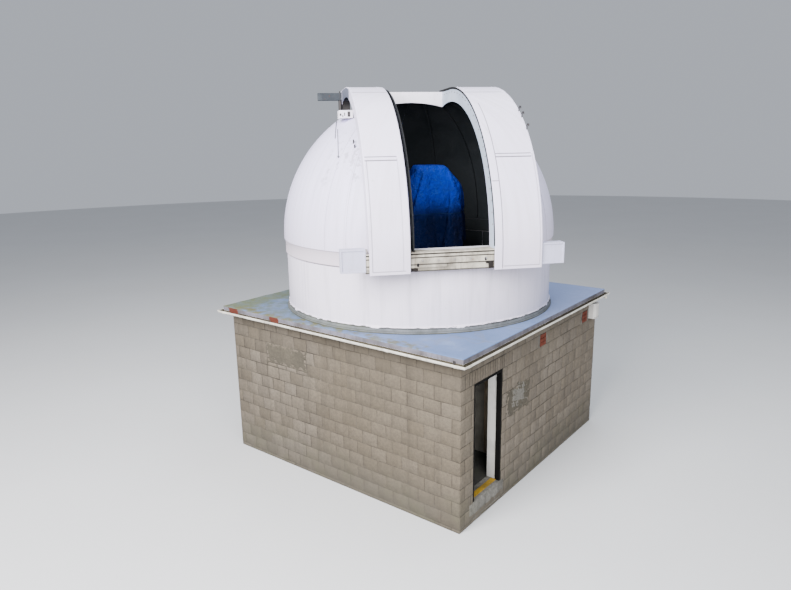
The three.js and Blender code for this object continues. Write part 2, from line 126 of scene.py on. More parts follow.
def scaled(tree, value, factor):
    return math2(tree, "MULTIPLY", value, factor)


def plus(tree, first, second):
    return math2(tree, "ADD", first, second)


def minus(tree, first, second):
    return math2(tree, "SUBTRACT", first, second)


def vector2(tree, operation, first, second):
    return addNode(tree, "ShaderNodeVectorMath", {0: first, 1: second}, operation=operation).outputs[0]


def noiseOf(tree, place, scale, detail, **more):
    inputs = {"Vector": place, "Scale": scale, "Detail": detail, **more}
    return addNode(tree, "ShaderNodeTexNoise", inputs).outputs[0]


def rangeOf(tree, value, low, high, toLow=0.0, toHigh=1.0):
    node = addNode(tree, "ShaderNodeMapRange", {0: value, 1: low, 2: high, 3: toLow, 4: toHigh})
    node.interpolation_type = "SMOOTHSTEP"
    return node.outputs[0]


# Empty group: its tree, what it is given, its result and the place on the object
def newGroup(name, inputs, *outputs):
    tree = bpy.data.node_groups.new(name, "ShaderNodeTree")
    for label, value in inputs.items():
        kind = "NodeSocketVector" if isinstance(value, tuple) else "NodeSocketFloat"
        tree.interface.new_socket(name=label, in_out="INPUT", socket_type=kind).default_value = value
    for label in outputs:
        tree.interface.new_socket(name=label, in_out="OUTPUT", socket_type="NodeSocketFloat")
    given, result = tree.nodes.new("NodeGroupInput").outputs, tree.nodes.new("NodeGroupOutput").inputs
    return tree, given, result, addNode(tree, "ShaderNodeTexCoord").outputs["Object"]


# Noise cut softly: 0 below the threshold less the softness, 1 above their sum
def cutNoise(tree, given, noise):
    low = minus(tree, given["Threshold"], given["Softness"])
    high = plus(tree, given["Threshold"], given["Softness"])
    return rangeOf(tree, noise, low, high)


# Mask of irregular patches: noise on stretched object coordinates, cut softly at a threshold
def buildPatchMask():
    tree, given, result, place = newGroup("patchMask", {
        "Stretch": (1, 1, 1), "Shift": (0, 0, 0),
        "Scale": 2.0, "Detail": 5.0, "Threshold": 0.5, "Softness": 0.1,
    }, "Mask", "Noise")
    turned = addNode(tree, "ShaderNodeMapping", {"Vector": place, "Rotation": (0, 0, -dome["turn"])})
    moved = vector2(tree, "ADD", vector2(tree, "MULTIPLY", turned.outputs[0], given["Stretch"]),
        given["Shift"])
    noise = noiseOf(tree, moved, given["Scale"], given["Detail"], Roughness=0.6)
    tree.links.new(cutNoise(tree, given, noise), result["Mask"])
    tree.links.new(noise, result["Noise"])
    return tree


# Fine mineral grain: two noises of different scale for height, and small pits from cell distances
def buildGrain():
    tree, given, result, place = newGroup("grain", {"Scale": 60.0}, "Height", "Pits")
    fine = noiseOf(tree, place, given["Scale"], 4.0)
    coarse = noiseOf(tree, place, scaled(tree, given["Scale"], 0.22), 3.0)
    cells = addNode(tree, "ShaderNodeTexVoronoi",
        {"Vector": place, "Scale": scaled(tree, given["Scale"], 0.7)})
    pits = rangeOf(tree, cells.outputs["Distance"], 0.10, 0.32)
    height = plus(tree, scaled(tree, fine, 0.6), coarse)
    tree.links.new(plus(tree, height, scaled(tree, pits, 0.25)), result["Height"])
    tree.links.new(minus(tree, 1.0, pits), result["Pits"])
    return tree


# Streaks that run down a round wall: noise on (angle about the axis, height) with the height squeezed
def buildRoundStreaks():
    tree, given, result, place = newGroup("roundStreaks", {
        "Around": 30.0, "Along": 0.6, "Threshold": 0.55, "Softness": 0.12,
    }, "Mask")
    parts = addNode(tree, "ShaderNodeSeparateXYZ", {0: place}).outputs
    angle = math2(tree, "ARCTAN2", parts[1], parts[0])
    across, down = scaled(tree, angle, given["Around"]), scaled(tree, parts[2], given["Along"])
    joined = addNode(tree, "ShaderNodeCombineXYZ", {0: across, 1: down})
    noise = noiseOf(tree, joined.outputs[0], 1.0, 6.0)
    tree.links.new(cutNoise(tree, given, noise), result["Mask"])
    return tree


# Mask of a box in object coordinates: least distance inside its faces, roughened by noise
def buildBoxMask():
    tree, given, result, place = newGroup("boxMask", {
        "Low": (0, 0, 0), "High": (1, 1, 1), "Fade": 0.2, "Ragged": 0.1,
    }, "Mask")
    above = vector2(tree, "SUBTRACT", place, given["Low"])
    below = vector2(tree, "SUBTRACT", given["High"], place)
    parts = addNode(tree, "ShaderNodeSeparateXYZ", {0: vector2(tree, "MINIMUM", above, below)}).outputs
    inside = math2(tree, "MINIMUM", math2(tree, "MINIMUM", parts[0], parts[1]), parts[2])
    noise = noiseOf(tree, place, 4.0, 5.0)
    rough = scaled(tree, minus(tree, noise, 0.5), given["Ragged"])
    tree.links.new(rangeOf(tree, plus(tree, inside, rough), 0.0, given["Fade"]), result["Mask"])
    return tree


# Height along a wall from 0 at Low to 1 at High
def buildHeightFade():
    tree, given, result, place = newGroup("heightFade", {"Low": 0.0, "High": 1.0}, "Mask")
    height = addNode(tree, "ShaderNodeSeparateXYZ", {0: place}).outputs[2]
    tree.links.new(rangeOf(tree, height, given["Low"], given["High"]), result["Mask"])
    return tree


# Band round one height, swayed by noise: 1 within half its width of the level, 0 beyond its width
def buildLevelBand():
    tree, given, result, place = newGroup("levelBand", {"Level": 0.0, "Width": 0.01, "Sway": 0.0}, "Mask")
    height = addNode(tree, "ShaderNodeSeparateXYZ", {0: place}).outputs[2]
    noise = noiseOf(tree, place, 3.0, 6.0)
    sway = scaled(tree, minus(tree, noise, 0.5), given["Sway"])
    away = math2(tree, "ABSOLUTE", minus(tree, plus(tree, height, sway), given["Level"]))
    half = scaled(tree, given["Width"], 0.5)
    tree.links.new(rangeOf(tree, away, given["Width"], half), result["Mask"])
    return tree


groups = {
    "patch": buildPatchMask(), "grain": buildGrain(), "streaks": buildRoundStreaks(),
    "box": buildBoxMask(), "fade": buildHeightFade(), "level": buildLevelBand(),
}


def useGroup(tree, name, **inputs):
    node = tree.nodes.new("ShaderNodeGroup")
    node.node_tree = groups[name]
    for key, value in inputs.items():
        node.inputs[key].default_value = value
    return node.outputs


# Masks, each from its group with the values in order
def patch(tree, scale, detail, threshold, softness, **more):
    values = {"Scale": scale, "Detail": detail, "Threshold": threshold, "Softness": softness, **more}
    return useGroup(tree, "patch", **values)["Mask"]


def fade(tree, low, high):
    return useGroup(tree, "fade", Low=low, High=high)["Mask"]


def inBox(tree, low, high, soft, ragged):
    return useGroup(tree, "box", Low=low, High=high, Fade=soft, Ragged=ragged)["Mask"]


def atLevel(tree, level, width, sway):
    return useGroup(tree, "level", Level=level, Width=width, Sway=sway)["Mask"]


def streaks(tree, around, along, threshold, softness):
    values = {"Around": around, "Along": along, "Threshold": threshold, "Softness": softness}
    return useGroup(tree, "streaks", **values)["Mask"]


# The piece's own values under a name
def valueOf(tree, label):
    return addNode(tree, "ShaderNodeAttribute", attribute_name=label).outputs["Fac"]


def times(color, factor):
    return [value * factor for value in color]


def startMaterial(name, roughness, metallic, specular):
    material = bpy.data.materials.new(name)
    material.use_nodes = True
    shader = material.node_tree.nodes["Principled BSDF"]
    shader.inputs["Roughness"].default_value = roughness
    shader.inputs["Metallic"].default_value = metallic
    shader.inputs["Specular IOR Level"].default_value = specular
    return material, material.node_tree


# Colour moved towards another by a mask times an amount
def tinted(tree, color, mask, amount, other):
    return mixColor(tree, scaled(tree, mask, amount), color, other)


# The same for layer after layer
def layered(tree, color, layers):
    for layer in layers:
        color = tinted(tree, color, *layer)
    return color


# Colour, bump (height, strength, distance) and roughness go to the shader
def finished(material, color, bump=None, roughness=None):
    tree = material.node_tree
    shader = tree.nodes["Principled BSDF"]
    tree.links.new(color, shader.inputs["Base Color"])
    if bump:
        height, strength, distance = bump
        inputs = {"Strength": strength, "Distance": distance, "Height": height}
        tree.links.new(addNode(tree, "ShaderNodeBump", inputs).outputs[0], shader.inputs["Normal"])
    if roughness:
        tree.links.new(roughness, shader.inputs["Roughness"])
    return material


# Weathered gel coat: two whites, soft streaks down from the seams, small grey marks, a faint ripple and,
# where the piece carries the attribute seam, a dark tone at its joints: dirt in the seams, and painted
# shade of the gaps at the ring's edges. The box tint adds colour in one box: a real stain on the shell,
# painted shade on the flange and the drum. Foot gives a pinker, darker tint towards the lower edge
def gelCoat(name, light, shade, grime, streakAmount, stainAndShade=None, foot=0.42):
    material, tree = startMaterial(name, 0.4, 0.0, 0.4)
    cloud = patch(tree, 0.9, 4.0, 0.5, 0.22)
    streak = streaks(tree, 26.0, 0.7, 0.62, 0.16)
    thin = streaks(tree, 95.0, 1.1, 0.66, 0.10)
    marks = patch(tree, 9.0, 6.0, 0.71, 0.05)
    grain = useGroup(tree, "grain", Scale=90.0)["Height"]
    color = mixColor(tree, cloud, light, shade)
    color = layered(tree, color, [
        (streak, streakAmount * 1.3, grime), (thin, streakAmount * 0.8, grime),
        (marks, 0.35, (0.42, 0.41, 0.42)),
    ])
    color = tinted(tree, color, fade(tree, 5.3, 3.95), foot, (0.56, 0.495, 0.56))
    # Tint in one box: a real stain on the shell, painted shade on the flange and the drum
    if stainAndShade:
        low, high, soft, amount, tint, broken = stainAndShade
        spots = patch(tree, 8.0, 6.0, 0.58, 0.05, Shift=(4, 0, 2))
        near = inBox(tree, low, high, soft, 0.3 * broken)
        near = scaled(tree, math2(tree, "MAXIMUM", spots, 1.0 - broken), near)
        color = tinted(tree, color, near, amount, tint)
    # Dark tone at the joints: dirt in the seams, painted shade of the gaps at the ring's edges
    color = mixColor(tree, valueOf(tree, "seam"), color, (0.045, 0.037, 0.045))
    ripple = useGroup(tree, "patch", Scale=5.0, Detail=2.0)["Noise"]
    height = plus(tree, ripple, scaled(tree, grain, 0.03))
    return finished(material, color, (height, 0.22, 0.01), rangeOf(tree, streak, 0.0, 1.0, 0.36, 0.60))


# Painted steel: base paint, dirt in clouds, rust specks and runs below them, and dark bands at given
# heights: painted shade in grooves, with grime
def paintedSteel(name, paint, dirt, rust, roughness, metallic=0.0, dirtAmount=0.4, levels=()):
    material, tree = startMaterial(name, roughness, metallic, 0.45)
    cloud = patch(tree, 2.6, 6.0, 0.52, 0.16)
    run = patch(tree, 1.6, 5.0, 0.6, 0.1, Stretch=(9.0, 9.0, 0.8))
    speck = patch(tree, 16.0, 7.0, 0.66, 0.05)
    grain = useGroup(tree, "grain", Scale=120.0)["Height"]
    color = tinted(tree, paint, cloud, dirtAmount, dirt)
    color = layered(tree, color, [
        (run, dirtAmount * 0.8, dirt), (speck, rust, (0.21, 0.075, 0.03)),
    ])
    # Dark bands at the given heights: painted shade in grooves, with grime
    for level, width in levels:
        color = tinted(tree, color, atLevel(tree, level, width, 0.004), 0.9, (0.018, 0.015, 0.012))
    height = minus(tree, scaled(tree, grain, 0.3), scaled(tree, speck, 0.6))
    gloss = rangeOf(tree, cloud, 0.0, 1.0, roughness, min(1.0, roughness + 0.25))
    return finished(material, color, (height, 0.25, 0.003), gloss)


# Rough masonry: a tone for each block, mineral specks, pits, damp rising from the foot and green on it
def masonry(name, light, dark, warm, toned=True, damp=0.75, grainScale=70.0, rough=0.35):
    material, tree = startMaterial(name, 0.92, 0.0, 0.25)
    cloud = patch(tree, 1.4, 6.0, 0.5, 0.2)
    fine = patch(tree, 22.0, 7.0, 0.5, 0.16)
    run = patch(tree, 1.2, 5.0, 0.57, 0.14, Stretch=(5.0, 5.0, 0.35))
    grain = useGroup(tree, "grain", Scale=grainScale)
    low = fade(tree, 0.95, 0.05)
    eaves = fade(tree, 2.1, 2.7)
    if toned:
        color = mixColor(tree, valueOf(tree, "tone"), dark, light)
        color = tinted(tree, color, valueOf(tree, "hue"), 0.55, warm)
    else:
        color = mixColor(tree, cloud, dark, light)
    color = tinted(tree, color, cloud, 0.30, warm)
    # Painted shadow: a darker, warmer tone near the front left corner, where shadows fall on the walls
    near = inBox(tree, (-4.2, -3.8, -1.2), (-1.6, 0.7, 3.4), 0.9, 0.8)
    color = layered(tree, color, [
        (near, 0.5, times(warm, 0.8)), (fine, 0.35, times(dark, 0.62)),
        (grain["Pits"], 0.45, times(dark, 0.4)), (run, 0.30, times(dark, 0.55)),
        (eaves, 0.42, times(dark, 0.75)),
    ])
    wet = scaled(tree, low, plus(tree, scaled(tree, cloud, 0.6), 0.4))
    color = tinted(tree, color, wet, damp, (0.085, 0.077, 0.062))
    green = patch(tree, 2.2, 5.0, 0.55, 0.12, Shift=(7, 3, 1))
    color = tinted(tree, color, scaled(tree, low, green), 0.2, (0.085, 0.09, 0.045))
    return finished(material, color, (grain["Height"], rough, 0.012))


# Mineral felt: slate grains, worn pale patches, old puddle edges and moss towards the far left edge;
# painted light lightens the right side
def roofFeltFinish():
    material, tree = startMaterial("mineralFelt", 0.82, 0.0, 0.4)
    cloud = patch(tree, 0.75, 5.0, 0.5, 0.22)
    dry = patch(tree, 1.9, 7.0, 0.56, 0.10, Shift=(3, 5, 0))
    puddle = useGroup(tree, "patch", Shift=(11, 2, 0), Scale=0.8, Detail=3.0, Threshold=0.5)["Noise"]
    edge = math2(tree, "ABSOLUTE", minus(tree, puddle, 0.53))
    tide = rangeOf(tree, edge, 0.022, 0.004)
    grain = useGroup(tree, "grain", Scale=140.0)
    color = mixColor(tree, cloud, (0.086, 0.140, 0.275), (0.128, 0.188, 0.350))
    color = layered(tree, color, [
        (dry, 0.4, (0.172, 0.235, 0.385)), (tide, 0.28, (0.155, 0.165, 0.19)),
        (grain["Pits"], 0.35, (0.08, 0.095, 0.13)),
    ])
    color = tinted(tree, color, valueOf(tree, "lap"), 0.55, (0.11, 0.115, 0.12))
    left = inBox(tree, (-3.0, -0.6, 2.5), (-1.45, 3.0, 3.4), 0.5, 0.6)
    back = inBox(tree, (-3.2, 2.0, 2.3), (3.2, 3.4, 3.6), 0.28, 0.5)
    rim = inBox(tree, (-2.9, -2.0, 2.5), (-2.42, 3.0, 3.4), 0.12, 0.5)
    grow = patch(tree, 6.0, 8.0, 0.5, 0.14, Shift=(1, 9, 4))
    # Painted light: the felt over the right lightened, where the dome's shadow falls on the roof
    right = inBox(tree, (-0.5, -4.2, 0.5), (4.9, 3.6, 5.5), 1.1, 0.4)
    color = tinted(tree, color, right, 0.95, (0.195, 0.25, 0.42))
    moss = scaled(tree, math2(tree, "MAXIMUM", left, back), grow)
    color = layered(tree, color, [
        (left, 0.35, (0.10, 0.12, 0.09)), (moss, 0.6, (0.075, 0.092, 0.025)),
        (back, 0.62, (0.098, 0.112, 0.032)),
    ])
    color = tinted(tree, color, scaled(tree, rim, grow), 0.85, (0.12, 0.11, 0.035))
    height = plus(tree, scaled(tree, grain["Height"], 0.5), scaled(tree, moss, 1.2))
    return finished(material, color, (height, 0.45, 0.006), rangeOf(tree, dry, 0.0, 1.0, 0.9, 0.7))


# Board: stretched noise for the grain, darker knots of dirt
def boardFinish(name, light, dark, roughness, grainAmount=0.5, specular=0.4):
    material, tree = startMaterial(name, roughness, 0.0, specular)
    grain = useGroup(tree, "patch", Stretch=(14.0, 14.0, 0.9), Scale=3.0, Detail=8.0, Threshold=0.5,
        Softness=0.18)
    dirt = patch(tree, 3.5, 6.0, 0.58, 0.12)
    low = fade(tree, 1.1, 0.36)
    color = tinted(tree, light, grain["Mask"], grainAmount, dark)
    color = layered(tree, color, [
        (dirt, 0.35, times(dark, 0.5)), (low, 0.35, times(dark, 0.45)),
    ])
    gloss = rangeOf(tree, dirt, 0.0, 1.0, roughness, min(1.0, roughness + 0.2))
    return finished(material, color, (grain["Noise"], 0.25, 0.004), gloss)


# Woven polyethylene: two crossing waves on the sheet's own map for the tapes, creases paler than the blue
def tarpFinish():
    material, tree = startMaterial("blueSheet", 0.5, 0.0, 0.22)
    own = addNode(tree, "ShaderNodeUVMap", uv_map="flat").outputs[0]
    parts = addNode(tree, "ShaderNodeSeparateXYZ", {0: own}).outputs
    warp = math2(tree, "SINE", scaled(tree, parts[0], 900.0))
    weft = math2(tree, "SINE", scaled(tree, parts[1], 900.0))
    weave = scaled(tree, warp, weft)
    cloud = patch(tree, 2.2, 5.0, 0.52, 0.2)
    worn = noiseOf(tree, own, 9.0, 7.0)
    crease = rangeOf(tree, math2(tree, "ABSOLUTE", minus(tree, worn, 0.5)), 0.02, 0.002)
    fine = noiseOf(tree, own, 26.0, 5.0, Distortion=0.8)
    wrinkle = rangeOf(tree, math2(tree, "ABSOLUTE", minus(tree, fine, 0.5)), 0.03, 0.0)
    color = mixColor(tree, cloud, (0.001, 0.028, 0.46), (0.0016, 0.045, 0.62))
    color = layered(tree, color, [
        (crease, 0.42, (0.09, 0.21, 0.74)), (wrinkle, 0.2, (0.06, 0.16, 0.66)),
    ])
    # Painted shade: the sheet darkens to navy below the tie, where the sill shades it
    color = tinted(tree, color, fade(tree, 4.92, 4.42), 0.96, (0.0012, 0.004, 0.020))
    color = mixColor(tree, rangeOf(tree, weave, -1.0, 1.0, 0.0, 0.16), color, (0.0, 0.03, 0.22))
    height = plus(tree, scaled(tree, worn, 9.0), scaled(tree, fine, 2.5))
    height = plus(tree, height, plus(tree, scaled(tree, weave, 0.1), scaled(tree, crease, 0.8)))
    return finished(material, color, (height, 1.0, 0.012), rangeOf(tree, cloud, 0.0, 1.0, 0.44, 0.58))


shutterWhite = ((0.80, 0.76, 0.95), (0.76, 0.715, 0.87), (0.52, 0.47, 0.55), 0.25)
drumWhite = ((0.77, 0.715, 0.83), (0.72, 0.67, 0.78), (0.50, 0.465, 0.54), 0.4)
finishes = {
    # Flange: a grey-blue tint over its upper rear part, painted shade
    "flange": gelCoat("flangeCoat", *shutterWhite, ((-1.45, 0.35, 6.34), (-0.55, 1.4, 7.2), 0.10, 1.0,
        (0.125, 0.135, 0.185), 0.0)),
    "shell": gelCoat("gelCoat", (0.78, 0.745, 0.98), (0.735, 0.705, 0.93), (0.52, 0.50, 0.63), 0.35,
        ((-2.4, -0.6, 5.1), (-1.5, 0.4, 6.2), 0.2, 0.5, (0.30, 0.28, 0.33), 1.0)),
    "shutter": gelCoat("shutterCoat", *shutterWhite),
    # Drum: a blue-grey tint over its far right side, painted shade
    "drum": gelCoat("drumCoat", *drumWhite, ((-1.0, -3.8, 1.4), (3.8, -0.2, 5.4), 1.6, 0.45,
        (0.32, 0.35, 0.54), 0.0), 0.0),
    "ring": gelCoat("ringCoat", *drumWhite, foot=0.95),
    "inside": paintedSteel("blackInside", (0.013, 0.017, 0.020), (0.022, 0.026, 0.031), 0.05, 0.7),
    "steel": paintedSteel("whiteSteel", (0.72, 0.70, 0.74), (0.38, 0.365, 0.36), 0.35, 0.42),
    # Lower track: dark bands along its grooves, painted shade with grime
    "cream": paintedSteel("creamSteel", (0.50, 0.46, 0.385), (0.125, 0.105, 0.08), 0.6, 0.5, 0.0, 0.8,
        levels=((4.030, 0.014), (4.137, 0.013), (4.193, 0.017), (3.926, 0.014))),
    # Track end boxes: white steel coloured blue-lavender, painted shade
    "endBox": paintedSteel("boxesPaintedShade", (0.50, 0.50, 0.65), (0.36, 0.35, 0.43), 0.2, 0.4, 0.0, 0.3),
    "beam": paintedSteel("blueGreyBeam", (0.034, 0.043, 0.052), (0.016, 0.018, 0.023), 0.2, 0.5, 0.2, 0.5),
    # Coaming: white steel coloured blue-grey, painted shade on its inner face
    "coaming": paintedSteel("coamingPaintedShade", (0.47, 0.54, 0.66), (0.29, 0.34, 0.42), 0.2, 0.42, 0.0, 0.35),
    "plate": paintedSteel("endPlatePaint", (0.92, 0.88, 0.98), (0.66, 0.62, 0.68), 0.25, 0.45, 0.0, 0.35),
    "dark": paintedSteel("darkFittings", (0.035, 0.033, 0.036), (0.09, 0.08, 0.075), 0.45, 0.5, 0.5),
    # Upper brackets: dark grey, painted shade under the shutters' tails
    "web": paintedSteel("webPaintedShade", (0.050, 0.046, 0.043), (0.022, 0.020, 0.019), 0.2, 0.7),
    "rust": paintedSteel("rustyBlocks", (0.006, 0.004, 0.003), (0.016, 0.008, 0.005), 0.5, 0.85),
    "rail": paintedSteel("railSteel", (0.16, 0.155, 0.15), (0.07, 0.06, 0.05), 0.5, 0.45, 0.7),
    "bolts": paintedSteel("boltHeads", (0.36, 0.35, 0.36), (0.16, 0.14, 0.13), 0.7, 0.45, 0.6),
    "underside": paintedSteel("shutterInside", (0.06, 0.052, 0.05), (0.03, 0.026, 0.023), 0.1, 0.8),
    "fitting": paintedSteel("greyFittings", (0.13, 0.13, 0.15), (0.07, 0.068, 0.075), 0.1, 0.5),
    "cord": boardFinish("tieCord", (0.004, 0.020, 0.09), (0.002, 0.010, 0.05), 0.85, 0.4),
    "rubber": paintedSteel("blackRubber", (0.0035, 0.0035, 0.004), (0.010, 0.010, 0.011), 0.0, 0.85),
    "block": masonry("concreteBlock", (0.172, 0.146, 0.116), (0.086, 0.072, 0.055), (0.132, 0.106, 0.072)),
    # Front wall blocks: the same blocks a quarter lighter, painted light for the front wall's shade
    "blockFrontPaintedLight": masonry("frontBlockPaintedLight", (0.215, 0.183, 0.146), (0.108, 0.090, 0.070),
        (0.165, 0.133, 0.091)),
    "mortar": masonry("mortarJoint", (0.165, 0.142, 0.112), (0.022, 0.019, 0.015), (0.11, 0.09, 0.066),
        False),
    "render": masonry("cementSmear", (0.105, 0.091, 0.068), (0.064, 0.056, 0.042), (0.092, 0.078, 0.054),
        False, 0.0, 45.0),
    "paleRender": masonry("paleMortar", (0.23, 0.217, 0.19), (0.10, 0.092, 0.076), (0.15, 0.138, 0.11),
        False, 0.0, 30.0, 0.6),
    "brickRed": masonry("redBrick", (0.22, 0.052, 0.030), (0.10, 0.024, 0.015), (0.17, 0.055, 0.034), True,
        0.0, 80.0),
    "concrete": masonry("concrete", (0.36, 0.345, 0.31), (0.08, 0.076, 0.066), (0.22, 0.205, 0.17), False,
        0.2, 40.0, 0.7),
    "inner": masonry("innerConcrete", (0.06, 0.058, 0.055), (0.035, 0.034, 0.032), (0.05, 0.045, 0.04),
        False, 0.3),
    "felt": roofFeltFinish(),
    "fascia": paintedSteel("fasciaPaint", (0.185, 0.18, 0.225), (0.07, 0.06, 0.055), 0.3, 0.6, 0.0, 0.7),
    "gutter": paintedSteel("creamPlastic", (0.78, 0.75, 0.66), (0.24, 0.21, 0.16), 0.0, 0.4, 0.0, 0.5),
    "frame": boardFinish("darkFrame", (0.0055, 0.005, 0.0045), (0.003, 0.003, 0.003), 0.95, 0.5, 0.1),
    "lining": boardFinish("whiteLining", (0.80, 0.78, 0.73), (0.58, 0.55, 0.49), 0.5, 0.25),
    "brown": boardFinish("brownBoard", (0.58, 0.47, 0.33), (0.36, 0.28, 0.19), 0.6),
    "plaster": boardFinish("roomPlaster", (0.36, 0.335, 0.28), (0.26, 0.24, 0.20), 0.85, 0.25),
    "yellow": paintedSteel("yellowStrip", (0.46, 0.275, 0.012), (0.11, 0.075, 0.02), 0.5, 0.55, 0.2, 0.65),
    "alarm": paintedSteel("alarmPlastic", (0.64, 0.62, 0.58), (0.40, 0.375, 0.33), 0.05, 0.35, 0.0, 0.3),
    "pier": paintedSteel("pierPaint", (0.15, 0.155, 0.165), (0.08, 0.08, 0.08), 0.3, 0.5, 0.2),
    "soil": masonry("gutterSoil", (0.10, 0.085, 0.06), (0.045, 0.038, 0.028), (0.085, 0.075, 0.04), False,
        0.0, 60.0, 0.6),
    "tarp": tarpFinish(),
}
print("materials made")


# Smooth random relief: sine waves in random directions, each octave half as high and twice as fine
def waves(points, seed, size, octaves):
    rng = np.random.default_rng(seed)
    total = np.zeros(points.shape[:-1])
    for octave in range(octaves):
        for _ in range(4):
            direction = rng.normal(size=3)
            direction *= 2 * math.pi * 2 ** octave / size / np.linalg.norm(direction)
            total += 0.5 ** octave * np.sin(points @ direction + rng.uniform(0, 2 * math.pi))
    return total / 4


def fullTurn(steps):
    return np.linspace(0, 2 * math.pi, steps, endpoint=False)


# Points at a radius, an angle about the axis and a height
def atAngle(radius, angle, z):
    return np.stack(np.broadcast_arrays(radius * np.cos(angle), radius * np.sin(angle), z), axis=-1)


# Points of a plane, for waves
def flatPoints(a, b):
    return np.stack([a, b, 0 * a], axis=-1)


# Indices round the border of a grid
def borderOf(index):
    return np.concatenate([index[0, :-1], index[:-1, -1], index[-1, :0:-1], index[:0:-1, 0]])


# The faces of one item again for each of many, whose points follow each other
def manyFaces(faces, count, size):
    return [[index + size * item for index in face] for item in range(count) for face in faces]


def smoothStep(value, low, high):
    t = np.clip((value - low) / (high - low), 0, 1)
    return t * t * (3 - 2 * t)


# Point (u out through the slit, v across it, z) turned to the row's frame
def fromSlit(points):
    c, s = math.cos(dome["turn"]), math.sin(dome["turn"])
    u, v, z = points[..., 0], points[..., 1], points[..., 2]
    return np.stack([u * c - v * s, u * s + v * c, z], axis=-1)


# Quads of a grid of points, row after row, optionally closed in either direction
def gridQuads(rows, cols, start=0, wrapRows=False, wrapCols=False):
    r, c = np.meshgrid(np.arange(rows - (not wrapRows)), np.arange(cols - (not wrapCols)), indexing="ij")
    r2, c2 = (r + 1) % rows, (c + 1) % cols
    quads = np.stack([r * cols + c, r * cols + c2, r2 * cols + c2, r2 * cols + c], axis=-1)
    return quads.reshape(-1, 4) + start


# Solid between an outer and an inner grid of the same size, joined by a rim along all four sides
def shellSolid(outer, inner):
    rows, cols = outer.shape[:2]
    count = rows * cols
    loop = borderOf(np.arange(count).reshape(rows, cols))
    following = np.roll(loop, -1)
    rim = np.stack([loop, loop + count, following + count, following], axis=-1)
    quads = np.concatenate([gridQuads(rows, cols), gridQuads(rows, cols, count)[:, ::-1], rim])
    points = np.concatenate([outer.reshape(-1, 3), inner.reshape(-1, 3)])
    kinds = np.zeros(len(quads), dtype=int)
    kinds[(rows - 1) * (cols - 1):2 * (rows - 1) * (cols - 1)] = 1
    return points, quads.tolist(), kinds


# Solid carried through closed outlines, skinned from one to the next and capped at both ends
def loftSolid(rings, closed=False):
    stations, count = rings.shape[:2]
    faces = gridQuads(stations, count, wrapRows=closed, wrapCols=True).tolist()
    if not closed:
        faces.append(list(range(count)))
        faces.append(list(range((stations - 1) * count, stations * count)))
    return rings.reshape(-1, 3), faces


# Solid of revolution from a closed outline of (radius, height) points
def turnedSolid(outline, steps, place=(0, 0)):
    outline = np.asarray(outline, dtype=float)
    angle = fullTurn(steps)[:, None]
    return loftSolid(atAngle(outline[:, 0], angle, outline[:, 1]) + [*place, 0], closed=True)


# Piece of the scene from a solid (points, faces, for a shell also kinds: 0 first finish, 1 second)
def addPiece(name, solid, body, finish, sharp, bevel=0.0, second=None, kinds=None, weld=False):
    mesh = meshOf(name, solid[0], solid[1])
    mesh.materials.append(finishes[finish])
    if second:
        mesh.materials.append(finishes[second])
        kinds = solid[2] if kinds is None else kinds
        mesh.polygons.foreach_set("material_index", np.asarray(kinds, dtype=np.int32))
    work = bmesh.new()
    work.from_mesh(mesh)
    if weld:
        bmesh.ops.remove_doubles(work, verts=work.verts, dist=2e-5)
    bmesh.ops.recalc_face_normals(work, faces=work.faces)
    work.to_mesh(mesh)
    work.free()
    mesh.shade_smooth()
    mesh.set_sharp_from_angle(angle=math.radians(sharp))
    obj = linked(name, mesh)
    if bevel:
        addBevel(obj, bevel)
    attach(obj, body)
    return obj


# One number for each vertex, which the materials read by its name
def addValues(obj, label, values):
    layer = obj.data.attributes.new(label, "FLOAT", "POINT")
    layer.data.foreach_set("value", np.asarray(values, dtype=np.float32).ravel())


# Tone and hue of each block or bar, the same for all its points
def addTones(obj, tone, hue):
    each = len(obj.data.vertices) // len(tone)
    addValues(obj, "tone", np.repeat(tone, each))
    addValues(obj, "hue", np.repeat(hue, each))


def addBevel(obj, width):
    edges = obj.modifiers.new("edges", "BEVEL")
    edges.width = width
    edges.segments = 2
    edges.limit_method = "ANGLE"
    edges.angle_limit = math.radians(38)
    edges.harden_normals = True


# A boxy CAD node with its loose triangles merged, flat faces joined and all edges rounded
def softened(node, name, body, finish, slot, bevel):
    work = bmesh.new()
    work.from_mesh(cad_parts[node].data)
    bmesh.ops.remove_doubles(work, verts=work.verts, dist=1e-5)
    bmesh.ops.dissolve_limit(work, angle_limit=math.radians(1), verts=work.verts, edges=work.edges)
    work.verts.ensure_lookup_table()
    points = np.array([vert.co for vert in work.verts])
    faces = [[vert.index for vert in face.verts] for face in work.faces]
    work.free()
    obj = addPiece(name, (points, faces), body, finish, 30, bevel)
    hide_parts(node)
    return obj


def dress(finish, *nodes):
    for node in nodes:
        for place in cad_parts[node].material_slots:
            place.material = finishes[finish]


# Many small boxes at once: centre, half sizes along three axes; each box has its edges cut back
def boxesSolid(centres, halves, axes, cut):
    inner = 1 - cut
    ring = np.array([
        [-inner, -1], [inner, -1], [1, -inner], [1, inner], [inner, 1], [-inner, 1], [-1, inner],
            [-1, -inner],
    ])
    levels = np.array([[-1, inner], [-inner, 1], [inner, 1], [1, inner]])
    local = np.concatenate([
        np.column_stack([ring * spread, np.full(8, level)]) for level, spread in levels
    ])
    quads = gridQuads(4, 8, wrapCols=True).tolist() + [list(range(8)), list(range(24, 32))]
    offset = np.einsum("nk,pk,kj->npj", np.asarray(halves, float), local, axes)
    points = np.asarray(centres, float)[:, None, :] + offset
    return points, manyFaces(quads, len(centres), len(local))


